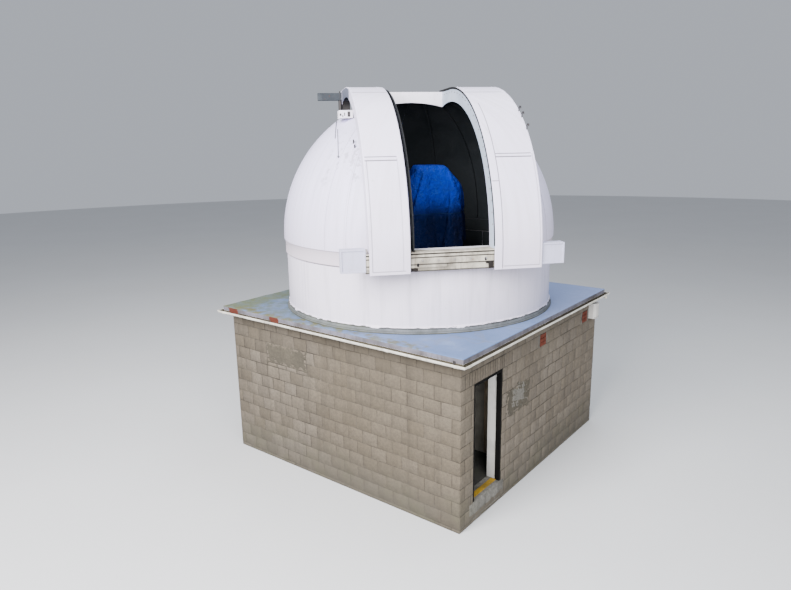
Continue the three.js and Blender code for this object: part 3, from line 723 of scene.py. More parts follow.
# Hexagon bolt heads with a washer: each stands on its centre point, along its normal or the one for all
def addBolts(name, centres, normals, size, body, finish):
    ring = np.arange(6) * math.pi / 3
    rows = [(1.55, 0.0), (1.5, 0.25), (1.0, 0.26), (1.0, 0.95), (0.82, 1.15)]
    local = np.concatenate([atAngle(radius, ring, height) for radius, height in rows]) * size
    quads = gridQuads(5, 6, wrapCols=True).tolist() + [list(range(6)), list(range(24, 30))]
    centres = np.asarray(centres, float)
    normals = np.broadcast_to(np.asarray(normals, float), centres.shape)
    normals = normals / np.linalg.norm(normals, axis=1, keepdims=True)
    helper = np.where(np.abs(normals[:, 2:]) > 0.9, [[1.0, 0, 0]], [[0, 0, 1.0]])
    first = np.cross(helper, normals)
    first /= np.linalg.norm(first, axis=1, keepdims=True)
    second = np.cross(normals, first)
    across, along, up = (local[None, :, k:k + 1] for k in range(3))
    points = centres[:, None] + across * first[:, None] + along * second[:, None] + up * normals[:, None]
    return addPiece(name, (points, manyFaces(quads, len(centres), len(local))), body, finish, 30)


# Round rod along a line of points: a circle at each point, square to the way it runs
def rodSolid(path, radius):
    along = np.gradient(path, axis=0)
    along /= np.linalg.norm(along, axis=1, keepdims=True)
    side = np.cross(along, [0.3, 0.2, 1.0])
    side /= np.linalg.norm(side, axis=1, keepdims=True)
    up = np.cross(side, along)
    angle = (np.arange(8) * 2 * math.pi / 8)[None, :, None]
    rings = path[:, None] + radius * (np.cos(angle) * side[:, None] + np.sin(angle) * up[:, None])
    return loftSolid(rings)


walls = {"course": 0.225, "foot": 0.055, "joint": 0.009, "proud": 0.0035, "arris": 0.006}
shift = np.array([house["x"], house["y"], 0])


# Place on a wall face: distance along it, height, distance out from it
def onWall(side, along, height, out):
    half = house["wallHalf"]
    x, y = {
        "left": (-half - out, along), "right": (half + out, along),
        "front": (along, -half - out), "back": (along, half + out),
    }[side]
    return np.stack(np.broadcast_arrays(x, y, height), axis=-1) + shift


# Upright joints of the odd and the even courses of a wall, with its two ends
def jointsOf(side, odd):
    if side == "front":
        near = [-2.245, -1.93, -1.615, -1.30] if odd else [-2.42, -2.11, -1.80, -1.49, -1.18]
        inner = [*near, *(-1.16 + 0.31 * np.arange(12) if odd else -0.99 + 0.312 * np.arange(12))]
    elif side == "back":
        inner = np.linspace(-2.42, 2.42, 16) if odd else np.linspace(-2.25, 2.25, 15)
    else:
        inner = np.linspace(-2.42, 2.28, 16) if odd else np.linspace(-2.23, 2.45, 16)
    return np.concatenate([[-house["wallHalf"]], inner, [house["wallHalf"]]])


# Rectangles of the courses, cut round the openings and the patches
def courseRects(side, holes):
    rng = np.random.default_rng({"left": 4, "front": 5, "right": 6, "back": 7}[side])
    rects = []
    for k in range(-1, 12):
        low = walls["foot"] + walls["course"] * k if k >= 0 else 0.0
        high = walls["foot"] + walls["course"] * (k + 1)
        joints = jointsOf(side, k % 2 == 1)
        inside = slice(1, -1)
        joints[inside] = joints[inside] + rng.uniform(-0.004, 0.004, len(joints) - 2)
        if side in ("left", "right"):
            joints[inside] += 0.02 * (1 - (joints[inside] / 2.56) ** 2)
        for start, end in zip(joints[:-1], joints[1:]):
            spans = [(start, end, low, high)]
            for hole in holes:
                spans = [piece for span in spans for piece in cutSpan(span, hole)]
            rects += [span for span in spans if span[1] - span[0] > 0.045 and span[3] - span[2] > 0.03]
    return np.array(rects)


def cutSpan(span, hole):
    a0, a1, z0, z1 = span
    h0, h1, y0, y1 = hole
    if a1 <= h0 or a0 >= h1 or z1 <= y0 + 0.004 or z0 >= y1 - 0.004:
        return [span]
    if min(z1, y1) - max(z0, y0) < 0.5 * (z1 - z0):
        return [(a0, a1, y1, z1)] if y1 < z1 else [(a0, a1, z0, y0)]
    return [(a0, h0, z0, z1), (h1, a1, z0, z1)]


# Blocks laid on a wall: a 6 by 5 grid (30 points) for each face, its border set back for the worn arris,
# its sides carried into the wall (18 points more); every grid point is moved a little at random
def layBlocks(name, side, rects, proud, arris, joint, finish, seed, toneLow, toneHigh):
    rng = np.random.default_rng(seed)
    count = len(rects)
    a0, a1 = rects[:, 0] + joint / 2, rects[:, 1] - joint / 2
    z0, z1 = rects[:, 2] + joint / 2, rects[:, 3] - joint / 2
    half = house["wallHalf"]
    a0 = np.where(rects[:, 0] <= -half + 1e-6, -half - proud * 0.6, a0)
    a1 = np.where(rects[:, 1] >= half - 1e-6, half + proud * 0.6, a1)
    wide, tall = (a1 - a0)[:, None, None], (z1 - z0)[:, None, None]
    along = np.array([0, 1, 2, 3, 4, 5])[None, None, :]
    up = np.array([0, 1, 2, 3, 4])[None, :, None]
    fa = np.select([along == 0, along == 1, along == 4, along == 5],
        [0 * wide, arris / wide, 1 - arris / wide, 1 + 0 * wide], (along - 1) / 3.0)
    fz = np.select([up == 0, up == 1, up == 3, up == 4],
        [0 * tall, arris / tall, 1 - arris / tall, 1 + 0 * tall], 0.5)
    a = a0[:, None, None] + fa * wide + np.zeros((count, 5, 6))
    z = z0[:, None, None] + fz * tall + np.zeros((count, 5, 6))
    border = np.ones((5, 6), bool)
    border[1:-1, 1:-1] = False
    lift = rng.uniform(-0.0012, 0.0016, (count, 1, 1)) + rng.normal(0, 0.0006, (count, 5, 6))
    out = np.where(border, proud - 0.55 * arris, proud) + lift
    inward = rng.uniform(0, 0.0028, (count, 5, 6)) * border
    a = a + inward * np.sign(0.5 - fa) * (np.abs(fa - 0.5) > 0.45)
    z = z + inward * np.sign(0.5 - fz) * (np.abs(fz - 0.5) > 0.45)
    flat = flatPoints(a, z)
    z = z + 0.005 * waves(flat, 17, 0.9, 2) * (z > 0.3) * (z < 2.6)
    loop = borderOf(np.arange(30).reshape(5, 6))
    a, z, out = (part.reshape(count, 30) for part in (a, z, out))
    aAll = np.concatenate([a, a[:, loop]], axis=1)
    zAll = np.concatenate([z, z[:, loop]], axis=1)
    outAll = np.concatenate([out, np.full((count, 18), -0.012)], axis=1)
    points = onWall(side, aAll, np.maximum(zAll, 0.001), outAll).reshape(-1, 3)
    rim = np.arange(18)
    rimFaces = np.stack([loop, np.roll(loop, -1), 30 + np.roll(rim, -1), 30 + rim], axis=-1)
    faces = manyFaces(gridQuads(5, 6).tolist() + rimFaces.tolist() + [list(range(30, 48))], count, 48)
    obj = addPiece(name, (points, faces), "building", finish, 60)
    tone = rng.beta(1.3, 1.3, count) * (toneHigh - toneLow) + toneLow
    hue = rng.beta(1.2, 3.0, count)
    addTones(obj, tone, hue)
    return obj


# Small boxes on a wall: for each its centre (along, height, out) and its half sizes
def addWallBoxes(name, side, boxes, finish, cut):
    centres, halves = [onWall(side, *centre) for centre, _ in boxes], [half for _, half in boxes]
    addPiece(name, boxesSolid(centres, halves, np.eye(3), cut), "building", finish, 30)


openings = {
    "left": [(0.62, 1.65, 1.855, 2.305)],
    "front": [(-2.18, -1.315, 0.35, 2.305), (-2.31, -1.185, 2.305, 2.53), (-0.05, 0.29, 2.305, 2.53),
        (1.80, 2.17, 2.305, 2.53)],
    "right": [], "back": [],
}
for side in ("left", "front", "right", "back"):
    rects = courseRects(side, openings[side])
    # Painted light: each wall's tone range is set by how it is lit, lower on the left wall, higher on the
    # front
    low = {"left": 0.08, "front": 0.34}.get(side, 0.18)
    layBlocks("blocks_" + side, side, rects, walls["proud"], walls["arris"], walls["joint"],
        "blockFrontPaintedLight" if side == "front" else "block", 20 + len(side), low, min(1.0, low + 0.82))
dress("mortar", "left_wall", "right_wall", "back_wall", "front_wall_left", "front_wall_right",
    "door_lintel")

# Bricks on end over the doorway
soldier = {"start": -2.31, "pitch": 0.075, "count": 15, "low": 2.305, "high": 2.53}
starts = soldier["start"] + soldier["pitch"] * np.arange(soldier["count"])
rects = np.array([(start, start + soldier["pitch"], soldier["low"], soldier["high"]) for start in starts])
layBlocks("soldier_course", "front", rects, 0.008, 0.005, 0.019, "blockFrontPaintedLight", 31, 0.1, 1.0)

# Small bricks in the infill of the left wall, and in the two red panels of the door wall
infill = {"start": 0.62, "end": 1.65, "low": 1.855, "wide": 0.2575, "high": 0.075, "offset": 0.12}
rects = []
for row in range(6):
    offset = infill["offset"] * (row % 2)
    low = infill["low"] + infill["high"] * row
    for col in range(4):
        start = infill["start"] + infill["wide"] * col + offset * (col > 0)
        end = start + infill["wide"] + offset * (col == 0)
        rects.append((start, min(end, infill["end"]), low, low + infill["high"]))
layBlocks("infill_bricks", "left", np.array(rects), 0.004, 0.004, 0.012, "block", 32, 0.5, 1.0)


# Louvred clay air brick: a rim, upright bars and two cross bars in front of a dark back
def addAirBrick(name, left, right, low, high):
    bars, middle = [], (low + high) / 2
    count = int(round((right - left - 0.03) / 0.021))
    pitch = (right - left - 0.03) / count
    for i in range(count):
        bars.append((left + 0.015 + pitch * (i + 0.5), middle, 0.3 * pitch, (high - low) / 2 - 0.006))
    for height in (low + 0.010, middle - 0.037, middle + 0.037, high - 0.010):
        bars.append(((left + right) / 2, height, (right - left) / 2, 0.010))
    for edge in (left + 0.010, right - 0.010):
        bars.append((edge, middle, 0.010, (high - low) / 2))
    bars = np.array(bars)
    centres = onWall("front", bars[:, 0], bars[:, 1], 0.0)
    halves = np.column_stack([bars[:, 2], np.full(len(bars), 0.009), bars[:, 3]])
    obj = addPiece(name, boxesSolid(centres, halves, np.eye(3), 0.12), "building", "brickRed",
        30)
    rng = np.random.default_rng(len(name))
    addTones(obj, rng.uniform(0.2, 1, len(bars)), rng.uniform(0, 0.6, len(bars)))


addAirBrick("air_brick_near", 0.01, 0.235, 2.312, 2.525)
addAirBrick("air_brick_far", 1.87, 2.095, 2.312, 2.525)


# Mortar smeared on a wall: a height field that sinks below the face round a ragged edge
def addSmear(
    name, side, box, thick, finish, seed, steps, rough=0.045, size=0.22, bias=0.0
):
    a = np.linspace(box[0], box[1], steps[0])[None, :]
    z = np.linspace(box[2], box[3], steps[1])[:, None]
    a, z = np.broadcast_arrays(a, z)
    flat = flatPoints(a, z)
    edge = np.minimum(np.minimum(a - box[0], box[1] - a), np.minimum(z - box[2], box[3] - z))
    ragged = edge + rough * waves(flat, seed, size, 4) - bias
    height = thick * smoothStep(ragged, 0.0, 0.05) + 0.35 * thick * waves(flat, seed + 1, 0.09, 4)
    height = np.where(edge < 1e-6, -0.012, np.where(ragged < 0.0, -0.004, height))
    outer = onWall(side, a, z, height)
    inner = onWall(side, a, z, np.full(a.shape, -0.016))
    return addPiece(name, shellSolid(outer, inner), "building", finish, 70)


addSmear("infill_render", "left", (0.58, 1.68, 1.90, 2.325), 0.010, "render", 41, (120, 60),
    0.08, 0.16, 0.035)
addSmear("door_wall_smear", "front", (-1.20, -0.30, 1.34, 1.92), 0.009, "render", 43, (120, 80),
    0.09, 0.14, 0.05)
addSmear("door_wall_mortar", "front", (-1.04, -0.46, 1.46, 1.90), 0.015, "paleRender", 47, (130, 100),
    0.11, 0.055, 0.07)
addSmear("step_front", "front", (-2.29, -1.22, 0.14, 0.349), 0.011, "concrete", 61, (110, 30),
    0.03, 0.2, -0.02)
for place, left, right, seed in (
    ("near", 0.225, 0.30, 51), ("left", -0.06, 0.015, 53),
    ("far", 1.79, 1.875, 54), ("end", 2.09, 2.18, 56),
):
    box = (left, right, 2.29, 2.54)
    addSmear("air_brick_mortar_" + place, "front", box, 0.008, "paleRender", seed, (14, 30))
print("walls laid")

for row in (
    ("door_frame", "door_frame_boards", "building", "frame", "frame_paint", 0.004),
    ("door_lining", "door_lining_boards", "building", "lining", "lining_board", 0.003),
    ("door_step", "door_step_slab", "building", "concrete", "concrete", 0.010),
    ("partition_panel", "partition_board", "building", "brown", "brown_board", 0.004),
    ("partition_wall", "partition_plaster", "building", "plaster", "plaster", 0.006),
):
    softened(*row)
dress("inner", "ground_floor")

# Yellow strip with ribs along it: a sawtooth outline carried across the doorway
stripPiece = {"left": -2.1397, "right": -1.3553, "front": -2.5, "depth": 0.092, "low": 0.3503,
    "rise": 0.012, "ribs": 8}
outline = [(0, 0), (stripPiece["depth"], 0), (stripPiece["depth"], 0.007)]
for i in range(stripPiece["ribs"]):
    middle = stripPiece["depth"] * (1 - (i + 0.5) / stripPiece["ribs"])
    outline += [(middle + 0.0035, 0.0085), (middle + 0.002, stripPiece["rise"]),
        (middle - 0.002, stripPiece["rise"]), (middle - 0.0035, 0.0085)]
outline = np.array(outline + [(0, 0.007)])
stations = np.linspace(stripPiece["left"], stripPiece["right"], 24)[:, None]
rings = np.stack(np.broadcast_arrays(stations, stripPiece["front"] + outline[None, :, 0],
    stripPiece["low"] + outline[None, :, 1]), axis=-1)
piece = addPiece("threshold_ribs", loftSolid(rings + shift), "building", "yellow", 30)
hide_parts("threshold_strip")

# Cover strip along the head of the frame, where it meets the bricks
bead = ((-1.7475, 2.302, -0.001), (0.44, 0.007, 0.006))
addWallBoxes("door_head_bead", "front", [bead], "frame", 0.3)
print("doorway done")

roof = {"half": 2.684, "low": 2.8556, "laps": (-1.78, -0.86, 0.08, 1.02, 1.95), "steps": 190}


# Felt: a height field over the deck with a step at each lap, slack ripples, and edges turned down
def addRoofFelt():
    line = np.unique(np.concatenate([
        np.linspace(-roof["half"], roof["half"], roof["steps"]),
        *[[lap - 0.004, lap + 0.004] for lap in roof["laps"]],
        [-roof["half"] + 0.004, roof["half"] - 0.004],
    ]))
    x, y = np.meshgrid(line, line, indexing="xy")
    flat = flatPoints(x, y)
    wander = x + 0.006 * waves(flat, 61, 0.7, 2)
    height = 0.0045 + 0.0011 * waves(flat, 62, 0.55, 4) + 0.0009 * waves(flat * [1, 0.25, 1], 63, 0.12, 2)
    lapMark = np.zeros_like(x)
    for lap in roof["laps"]:
        step = smoothStep(wander, lap - 0.005, lap + 0.005)
        height += 0.003 * step * (1 - smoothStep(wander, lap + 0.09, lap + 0.34))
        lapMark = np.maximum(lapMark, 1 - np.clip(np.abs(wander - lap + 0.004) / 0.014, 0, 1))
    rim = np.minimum(roof["half"] - np.abs(x), roof["half"] - np.abs(y))
    height = height + 0.004 * (smoothStep(rim, 0.13, 0.10)) - 0.004 * (rim < 0.002)
    outer = np.stack([x, y, roof["low"] + height], axis=-1) + shift
    inner = np.stack([x, y, np.full_like(x, roof["low"])], axis=-1) + shift
    obj = addPiece("roof_felt", shellSolid(outer, inner), "building", "felt", 60)
    addValues(obj, "lap", np.concatenate([lapMark.ravel(), np.zeros(x.size)]))


addRoofFelt()
dress("felt", "roof_deck")
softened("roof_fascia", "fascia_boards", "building", "fascia", "fascia_board", 0.003)

# Gutter: a half round outline with a rolled front lip, carried round the roof with mitred corners
gutter = {"inner": 2.6805, "width": 0.0845, "low": 2.730, "high": 2.785, "skin": 0.003, "round": 0.039}


def gutterOutline():
    w, low, high, t, r = gutter["width"], gutter["low"], gutter["high"], gutter["skin"], gutter["round"]
    turn = np.linspace(0, math.pi / 2, 5)
    outside = [(0, high)] + [(r - r * math.cos(a), low + r - r * math.sin(a)) for a in turn]
    outside += [(w - 0.003 - r + r * math.sin(a), low + r - r * math.cos(a)) for a in turn]
    bead = [(w - 0.003 + 0.004 * math.cos(a), high - 0.004 + 0.004 * math.sin(a))
        for a in np.linspace(-0.9, 3.6, 8)]
    r2 = r - t
    inside = [(w - 0.003 - t, high - 0.010)]
    inside += [(w - 0.003 - r + r2 * math.sin(a), low + r - r2 * math.cos(a)) for a in turn[::-1]]
    inside += [(r - r2 * math.cos(a), low + r - r2 * math.sin(a)) for a in turn[::-1]]
    return np.array(outside + bead + inside + [(t, high)])


# Stations along the sides of a square round the middle
def squarePath(perSide):
    t = np.arange(perSide)[:, None] / perSide
    corners = np.array([(-1, -1), (1, -1), (1, 1), (-1, 1)], float)
    return np.concatenate([corners[i] + (corners[(i + 1) % 4] - corners[i]) * t for i in range(4)])


# Round a square: for each outline point a square of its own reach, with stations between the corners
def addGutter():
    outline = gutterOutline()
    path = squarePath(24)
    reach = gutter["inner"] + outline[:, 0]
    xy = path[:, None, :] * reach[None, :, None]
    sag = 0.0018 * waves(np.concatenate([path * 2.7, np.zeros((len(path), 1))], axis=1), 71, 1.3, 2)
    z = outline[None, :, 1] + sag[:, None]
    solid = loftSolid(np.concatenate([xy, z[..., None]], axis=-1) + shift, closed=True)
    # Inside faces take the soil finish: soil lying in the gutter, and painted shade in its hollow
    kinds = np.tile(np.isin(np.arange(len(outline)), np.arange(18, len(outline) - 1)), len(path))
    piece = addPiece("gutter_run", solid, "building", "gutter", 45, second="soil",
        kinds=kinds)
    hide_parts("gutter_front", "gutter_back", "gutter_left", "gutter_right")
    bed = np.array([
        (0.013, 2.7445), (0.028, 2.7345), (0.057, 2.7345), (0.072, 2.7445),
        (0.0745, 2.7505), (0.058, 2.7545), (0.028, 2.7545), (0.010, 2.7505),
    ])
    path = squarePath(90)
    reach = gutter["inner"] + bed[:, 0]
    spread = np.concatenate([path * 2.7, np.zeros((len(path), 1))], axis=1)
    lift = 0.006 * (0.6 + waves(spread, 73, 0.35, 4))[:, None] * (bed[:, 1] > 2.752)
    xy = path[:, None, :] * reach[None, :, None]
    rings = np.concatenate([xy, (bed[None, :, 1] + lift)[..., None]], axis=-1)
    solid = loftSolid(rings + shift, closed=True)
    addPiece("gutter_soil", solid, "building", "soil", 60)


addGutter()


# Collars and brackets of the gutter: its outline a little larger, a few centimetres long
def addGutterCollars(name, spots, length, grow):
    outline = gutterOutline()[:19]
    centre = np.array([gutter["width"] / 2, (gutter["low"] + gutter["high"]) / 2])
    away = outline - centre
    away /= np.linalg.norm(away, axis=1, keepdims=True)
    band = np.concatenate([outline + away * grow, (outline + away * 0.0006)[::-1]])
    allPoints, allFaces, start = [], [], 0
    for side, along in spots:
        stations = along + np.array([-length / 2, length / 2])
        a = np.broadcast_to(stations[:, None], (2, len(band)))
        out = np.broadcast_to(gutter["inner"] - house["wallHalf"] + band[None, :, 0], a.shape)
        ring = onWall(side, a, np.broadcast_to(band[None, :, 1], a.shape), out)
        points, faces = loftSolid(ring)
        allPoints.append(points)
        allFaces += [[value + start for value in face] for face in faces]
        start += len(points)
    addPiece(name, (np.concatenate(allPoints), allFaces), "building", "gutter", 45)


addGutterCollars("gutter_unions", [
    ("front", 2.05), ("front", -1.45), ("left", -1.35), ("left", 1.9), ("right", 0.4), ("back", -0.5),
    ("back", 1.6), ("front", -2.60), ("left", -2.60), ("front", 2.60), ("right", -2.60), ("left", 2.60),
    ("back", -2.60), ("back", 2.60), ("right", 2.60),
], 0.075, 0.0035)
bracketPlaces = (-2.2, -1.8, -0.9, 0.0, 0.9, 1.5, 2.3)
spots = [(side, along) for side in ("left", "front", "right", "back") for along in bracketPlaces]
addGutterCollars("gutter_brackets", spots, 0.024, 0.0025)

# Outlet: a round spout below the front gutter with a flange and a swept lower lip
spoutOutline = [
    (0.030, 2.684), (0.034, 2.684), (0.0345, 2.690), (0.033, 2.694),
    (0.033, 2.722), (0.038, 2.726), (0.038, 2.731), (0.030, 2.731),
]
spout = turnedSolid(spoutOutline, 32, (house["x"] + 2.64, house["y"] - 2.7225))
addPiece("gutter_outlet", spout, "building", "gutter", 40)


# Brick red mark on the fascia: a height field that sinks below the board past a ragged edge
def addFasciaMark(name, a0, a1, seed):
    a, z = np.broadcast_arrays(np.linspace(a0, a1, 30)[None, :], np.linspace(2.708, 2.853, 16)[:, None])
    flat = flatPoints(a, z)
    edge = np.minimum(np.minimum(a - a0, a1 - a), z - 2.70) + 0.035 * waves(flat, seed, 0.12, 4)
    out = np.where(edge > 0.012, 0.005 + 0.0022 * waves(flat, seed + 2, 0.05, 3), -0.003)
    outer, inner = onWall("left", a, z, 0.12 + out), onWall("left", a, z, np.full(a.shape, 0.114))
    obj = addPiece(name, shellSolid(outer, inner), "building", "brickRed", 70)
    addTones(obj, [0.3], [0.3])


addFasciaMark("fascia_red_1", 2.25, 2.54, 81)
addFasciaMark("fascia_red_2", 1.14, 1.38, 82)
addWallBoxes("fascia_bracket", "left", [
    ((-2.53, 2.791, 0.123), (0.004, 0.022, 0.025)), ((-2.53, 2.777, 0.131), (0.010, 0.012, 0.004)),
], "dark", 0.2)
softened("alarm_box", "alarm_cover", "building", "alarm", "alarm_plastic", 0.008)

# Seam round the alarm box and its two screws
addWallBoxes("alarm_seam", "front", [
    ((2.2775, 2.362, 0.105), (0.094, 0.046, 0.0025)), ((2.2775, 2.336, 0.075), (0.075, 0.055, 0.005)),
], "dark", 0.2)
addBolts("alarm_screws", [onWall("front", a, 2.385, 0.1505) for a in (2.235, 2.32)], (0, -1, 0), 0.006,
    "building", "bolts")
print("roof edge done")

drum = {"outer": 2.490, "inner": 2.430, "low": 2.8553, "high": 3.885, "gap": 0.0006}


# Drum segment: an arc of wall between two radii, outer face slightly uneven, a flange strip at each end
def addDrumSegment(index):
    start = index * math.pi / 2 + drum["gap"]
    angle = np.linspace(start, start + math.pi / 2 - 2 * drum["gap"], 91)[None, :]
    low, high = drum["low"], drum["high"]
    z = np.concatenate([[low, low + 0.004], np.linspace(2.9, 3.85, 14), [high - 0.004, high]])[:, None]
    angle, z = np.broadcast_arrays(angle, z)
    uneven = 0.0012 * waves(atAngle(drum["outer"], angle, z), 91 + index, 0.9, 3)
    outerRadius = drum["outer"] - 0.001 + uneven
    outerRadius[0] -= 0.003
    outerRadius[-1] -= 0.003
    solid = shellSolid(atAngle(outerRadius, angle, z), atAngle(drum["inner"], angle, z))
    piece = addPiece("drum_panel_%d" % (index + 1), solid, "building", "drum", 40,
        second="inside")
    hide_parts("drum_wall_%d" % (index + 1))


for index in range(4):
    addDrumSegment(index)


# Ring with an uneven outline: (radius, height) outline turned, each point moved by waves round the ring
def unevenRing(outline, steps, seed, amount, size):
    outline = np.asarray(outline, dtype=float)
    angle = fullTurn(steps)[:, None]
    around = atAngle(2.5, angle, outline[:, 1])
    sway = np.stack([waves(around, seed, size, 3), waves(around, seed + 1, size, 3)], axis=-1)
    move = np.asarray(amount)[None, :, :] * sway
    radius, z = outline[:, 0] + move[..., 0], outline[:, 1] + move[..., 1]
    return loftSolid(atAngle(radius, angle, z), closed=True)


# Kerb: felt in bands of grey, dark at the laps, a painted shadow under the drum's foot, and at the toe
# brown green dirt with painted shade
def kerbFinish():
    material, tree = startMaterial("kerbFelt", 0.85, 0.0, 0.3)
    cloud = patch(tree, 2.2, 6.0, 0.5, 0.2)
    fine = patch(tree, 11.0, 7.0, 0.5, 0.15)
    grain = useGroup(tree, "grain", Scale=140.0)
    color = mixColor(tree, cloud, (0.075, 0.082, 0.085), (0.135, 0.145, 0.155))
    color = tinted(tree, color, fine, 0.3, (0.21, 0.22, 0.24))
    # Bands: at 2.949 painted shadow under the drum's foot, at 2.897 the dark lap, at 2.862 brown green dirt
    # with painted shade at the toe
    for level, width, amount, tint in (
        (2.949, 0.014, 0.85, (0.022, 0.022, 0.020)), (2.897, 0.010, 0.5, (0.045, 0.046, 0.042)),
        (2.862, 0.018, 0.85, (0.045, 0.043, 0.026)),
    ):
        color = tinted(tree, color, atLevel(tree, level, width, 0.02), amount, tint)
    left = inBox(tree, (-3.0, -1.0, 2.5), (-0.8, 3.0, 3.4), 0.8, 0.6)
    color = layered(tree, color, [
        (scaled(tree, left, cloud), 0.6, (0.11, 0.125, 0.06)), (grain["Pits"], 0.3, (0.06, 0.06, 0.06)),
    ])
    return finished(material, color, (grain["Height"], 0.4, 0.005))


finishes["kerb"] = kerbFinish()
kerbOutline = [
    (2.4903, 2.8562), (2.5350, 2.8562), (2.5360, 2.872), (2.530, 2.887),
    (2.518, 2.925), (2.5085, 2.957), (2.5040, 2.9645), (2.4903, 2.9650),
]
kerbMove = [
    (0, 0), (0.001, 0), (0.002, 0.001), (0.002, 0.003), (0.002, 0.002), (0.001, 0.002), (0.0005, 0.001),
        (0, 0),
]
kerb = unevenRing(kerbOutline, 360, 95, kerbMove, 0.5)
piece = addPiece("kerb_felt", kerb, "building", "kerb", 50)
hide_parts("drum_kerb")


coat = {"steps": 900, "top": 2.984, "foot": 2.958, "sway": 0.0035, "runs": 0.020}


# White coat run down over the kerb: from the drum to a foot whose height wanders, with a few longer runs;
# its radius is the kerb's own at each height plus its thickness
def addFootCoat():
    angle = fullTurn(coat["steps"])
    around = atAngle(2.5, angle, 0)
    runs = smoothStep(waves(around, 98, 0.34, 3), 0.35, 0.9)
    foot = coat["foot"] + coat["sway"] * waves(around, 97, 0.16, 4) - coat["runs"] * runs
    t = np.array([0.0, 0.25, 0.5, 0.75, 1.0])[None, :]
    z = coat["top"] + (foot[:, None] - coat["top"]) * t
    kerbLine = np.array(kerbOutline[2:7] + [(2.4905, 2.966), (2.4905, 2.99)])
    surface = np.interp(z, kerbLine[:, 1], kerbLine[:, 0])
    outer = surface + np.array([0.0006, 0.0022, 0.003, 0.0028, 0.0016])[None, :]
    radius = np.concatenate([outer, surface[:, ::-1] - 0.0012], axis=1)
    height = np.concatenate([z, z[:, ::-1]], axis=1)
    solid = loftSolid(atAngle(radius, angle[:, None], height), closed=True)
    addPiece("drum_foot_coat", solid, "building", "drum", 50)


addFootCoat()
railOutline = [
    (2.4400, 3.8853), (2.4700, 3.8853), (2.4700, 3.8930), (2.4670, 3.8965), (2.4430, 3.8965),
        (2.4400, 3.8930),
]
piece = addPiece("drum_rail_track", turnedSolid(railOutline, 360), "building", "rail", 40)
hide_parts("drum_rail")
print("drum done")

pierOutline = [
    (0.0, 2.8565), (0.258, 2.8565), (0.260, 2.860), (0.260, 2.908), (0.256, 2.9145), (0.192, 2.9160),
    (0.184, 2.930), (0.180, 2.955), (0.180, 3.600), (0.196, 3.606),
    (0.200, 3.612), (0.200, 3.640), (0.196, 3.6465), (0.0, 3.6465),
]
angle = fullTurn(64)[:, None]
outline = np.array(pierOutline[1:-1])
rings = atAngle(outline[:, 0], angle, outline[:, 1]).transpose(1, 0, 2)
piece = addPiece("pier_column", loftSolid(rings), "building", "pier", 40)
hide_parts("telescope_pier")
spin = np.arange(8) * math.pi / 4 + 0.2
addBolts("pier_bolts", atAngle(0.222, spin, 2.9155), (0, 0, 1), 0.012, "building", "bolts")

cover = {
    "wide": 3.72, "deep": 3.92, "steps": 78, "frames": 54, "depthHalf": 0.33, "start": 5.452,
    "form": [(0.04, 3.60), (0.60, 3.60), (0.62, 4.28), (0.71, 4.58), (0.775, 4.88), (0.735, 5.06),
        (0.51, 5.33), (0.46, 5.38), (-0.01, 5.385), (-0.045, 5.35), (-0.14, 5.02), (-0.165, 4.82),
        (-0.08, 4.56), (0.03, 4.28)],
    "middle": (0.0, 0.31), "tieLow": 4.50, "tieHigh": 4.57, "drawn": 0.52, "tieFrames": 30, "cord": 0.012,
    "cloth": {"quality": 7, "mass": 0.25, "air_damping": 2.0, "tension_stiffness": 30,
        "compression_stiffness": 30, "shear_stiffness": 12, "bending_stiffness": 1.2, "tension_damping": 8,
        "compression_damping": 8, "shear_damping": 8},
}


# Form under the sheet: the covered telescope's outline carried along the slit's direction, ends drawn in
def addCoverForm():
    outline = np.array(cover["form"])
    centre = outline.mean(axis=0)
    stations = [
        (-1.0, 0.80), (-0.93, 0.93), (-0.75, 1.0), (-0.3, 1.0), (0.3, 1.0), (0.75, 1.0), (0.93, 0.93),
            (1.0, 0.80),
    ]
    rings = np.stack([
        np.column_stack([np.full(len(outline), cover["depthHalf"] * place),
            centre + (outline - centre) * size]) for place, size in stations
    ])
    rings[..., 2] = np.where(rings[..., 2] < 3.9, 3.55, rings[..., 2])
    points, faces = loftSolid(fromSlit(rings))
    mesh = meshOf("coverForm", points, faces)
    work = bmesh.new()
    work.from_mesh(mesh)
    bmesh.ops.recalc_face_normals(work, faces=work.faces)
    bmesh.ops.triangulate(work, faces=work.faces)
    work.to_mesh(mesh)
    work.free()
    obj = linked("coverForm", mesh)
    return obj


# Sheet cut to an ellipse: a square grid pulled to a disc, x sqrt(1 - y^2/2) and y sqrt(1 - x^2/2)
def flatSheet():
    t = np.linspace(-1, 1, cover["steps"])
    x, y = np.meshgrid(t, t, indexing="ij")
    p = x * np.sqrt(1 - y * y / 2) * cover["wide"] / 2
    q = y * np.sqrt(1 - x * x / 2) * cover["deep"] / 2
    return p, q


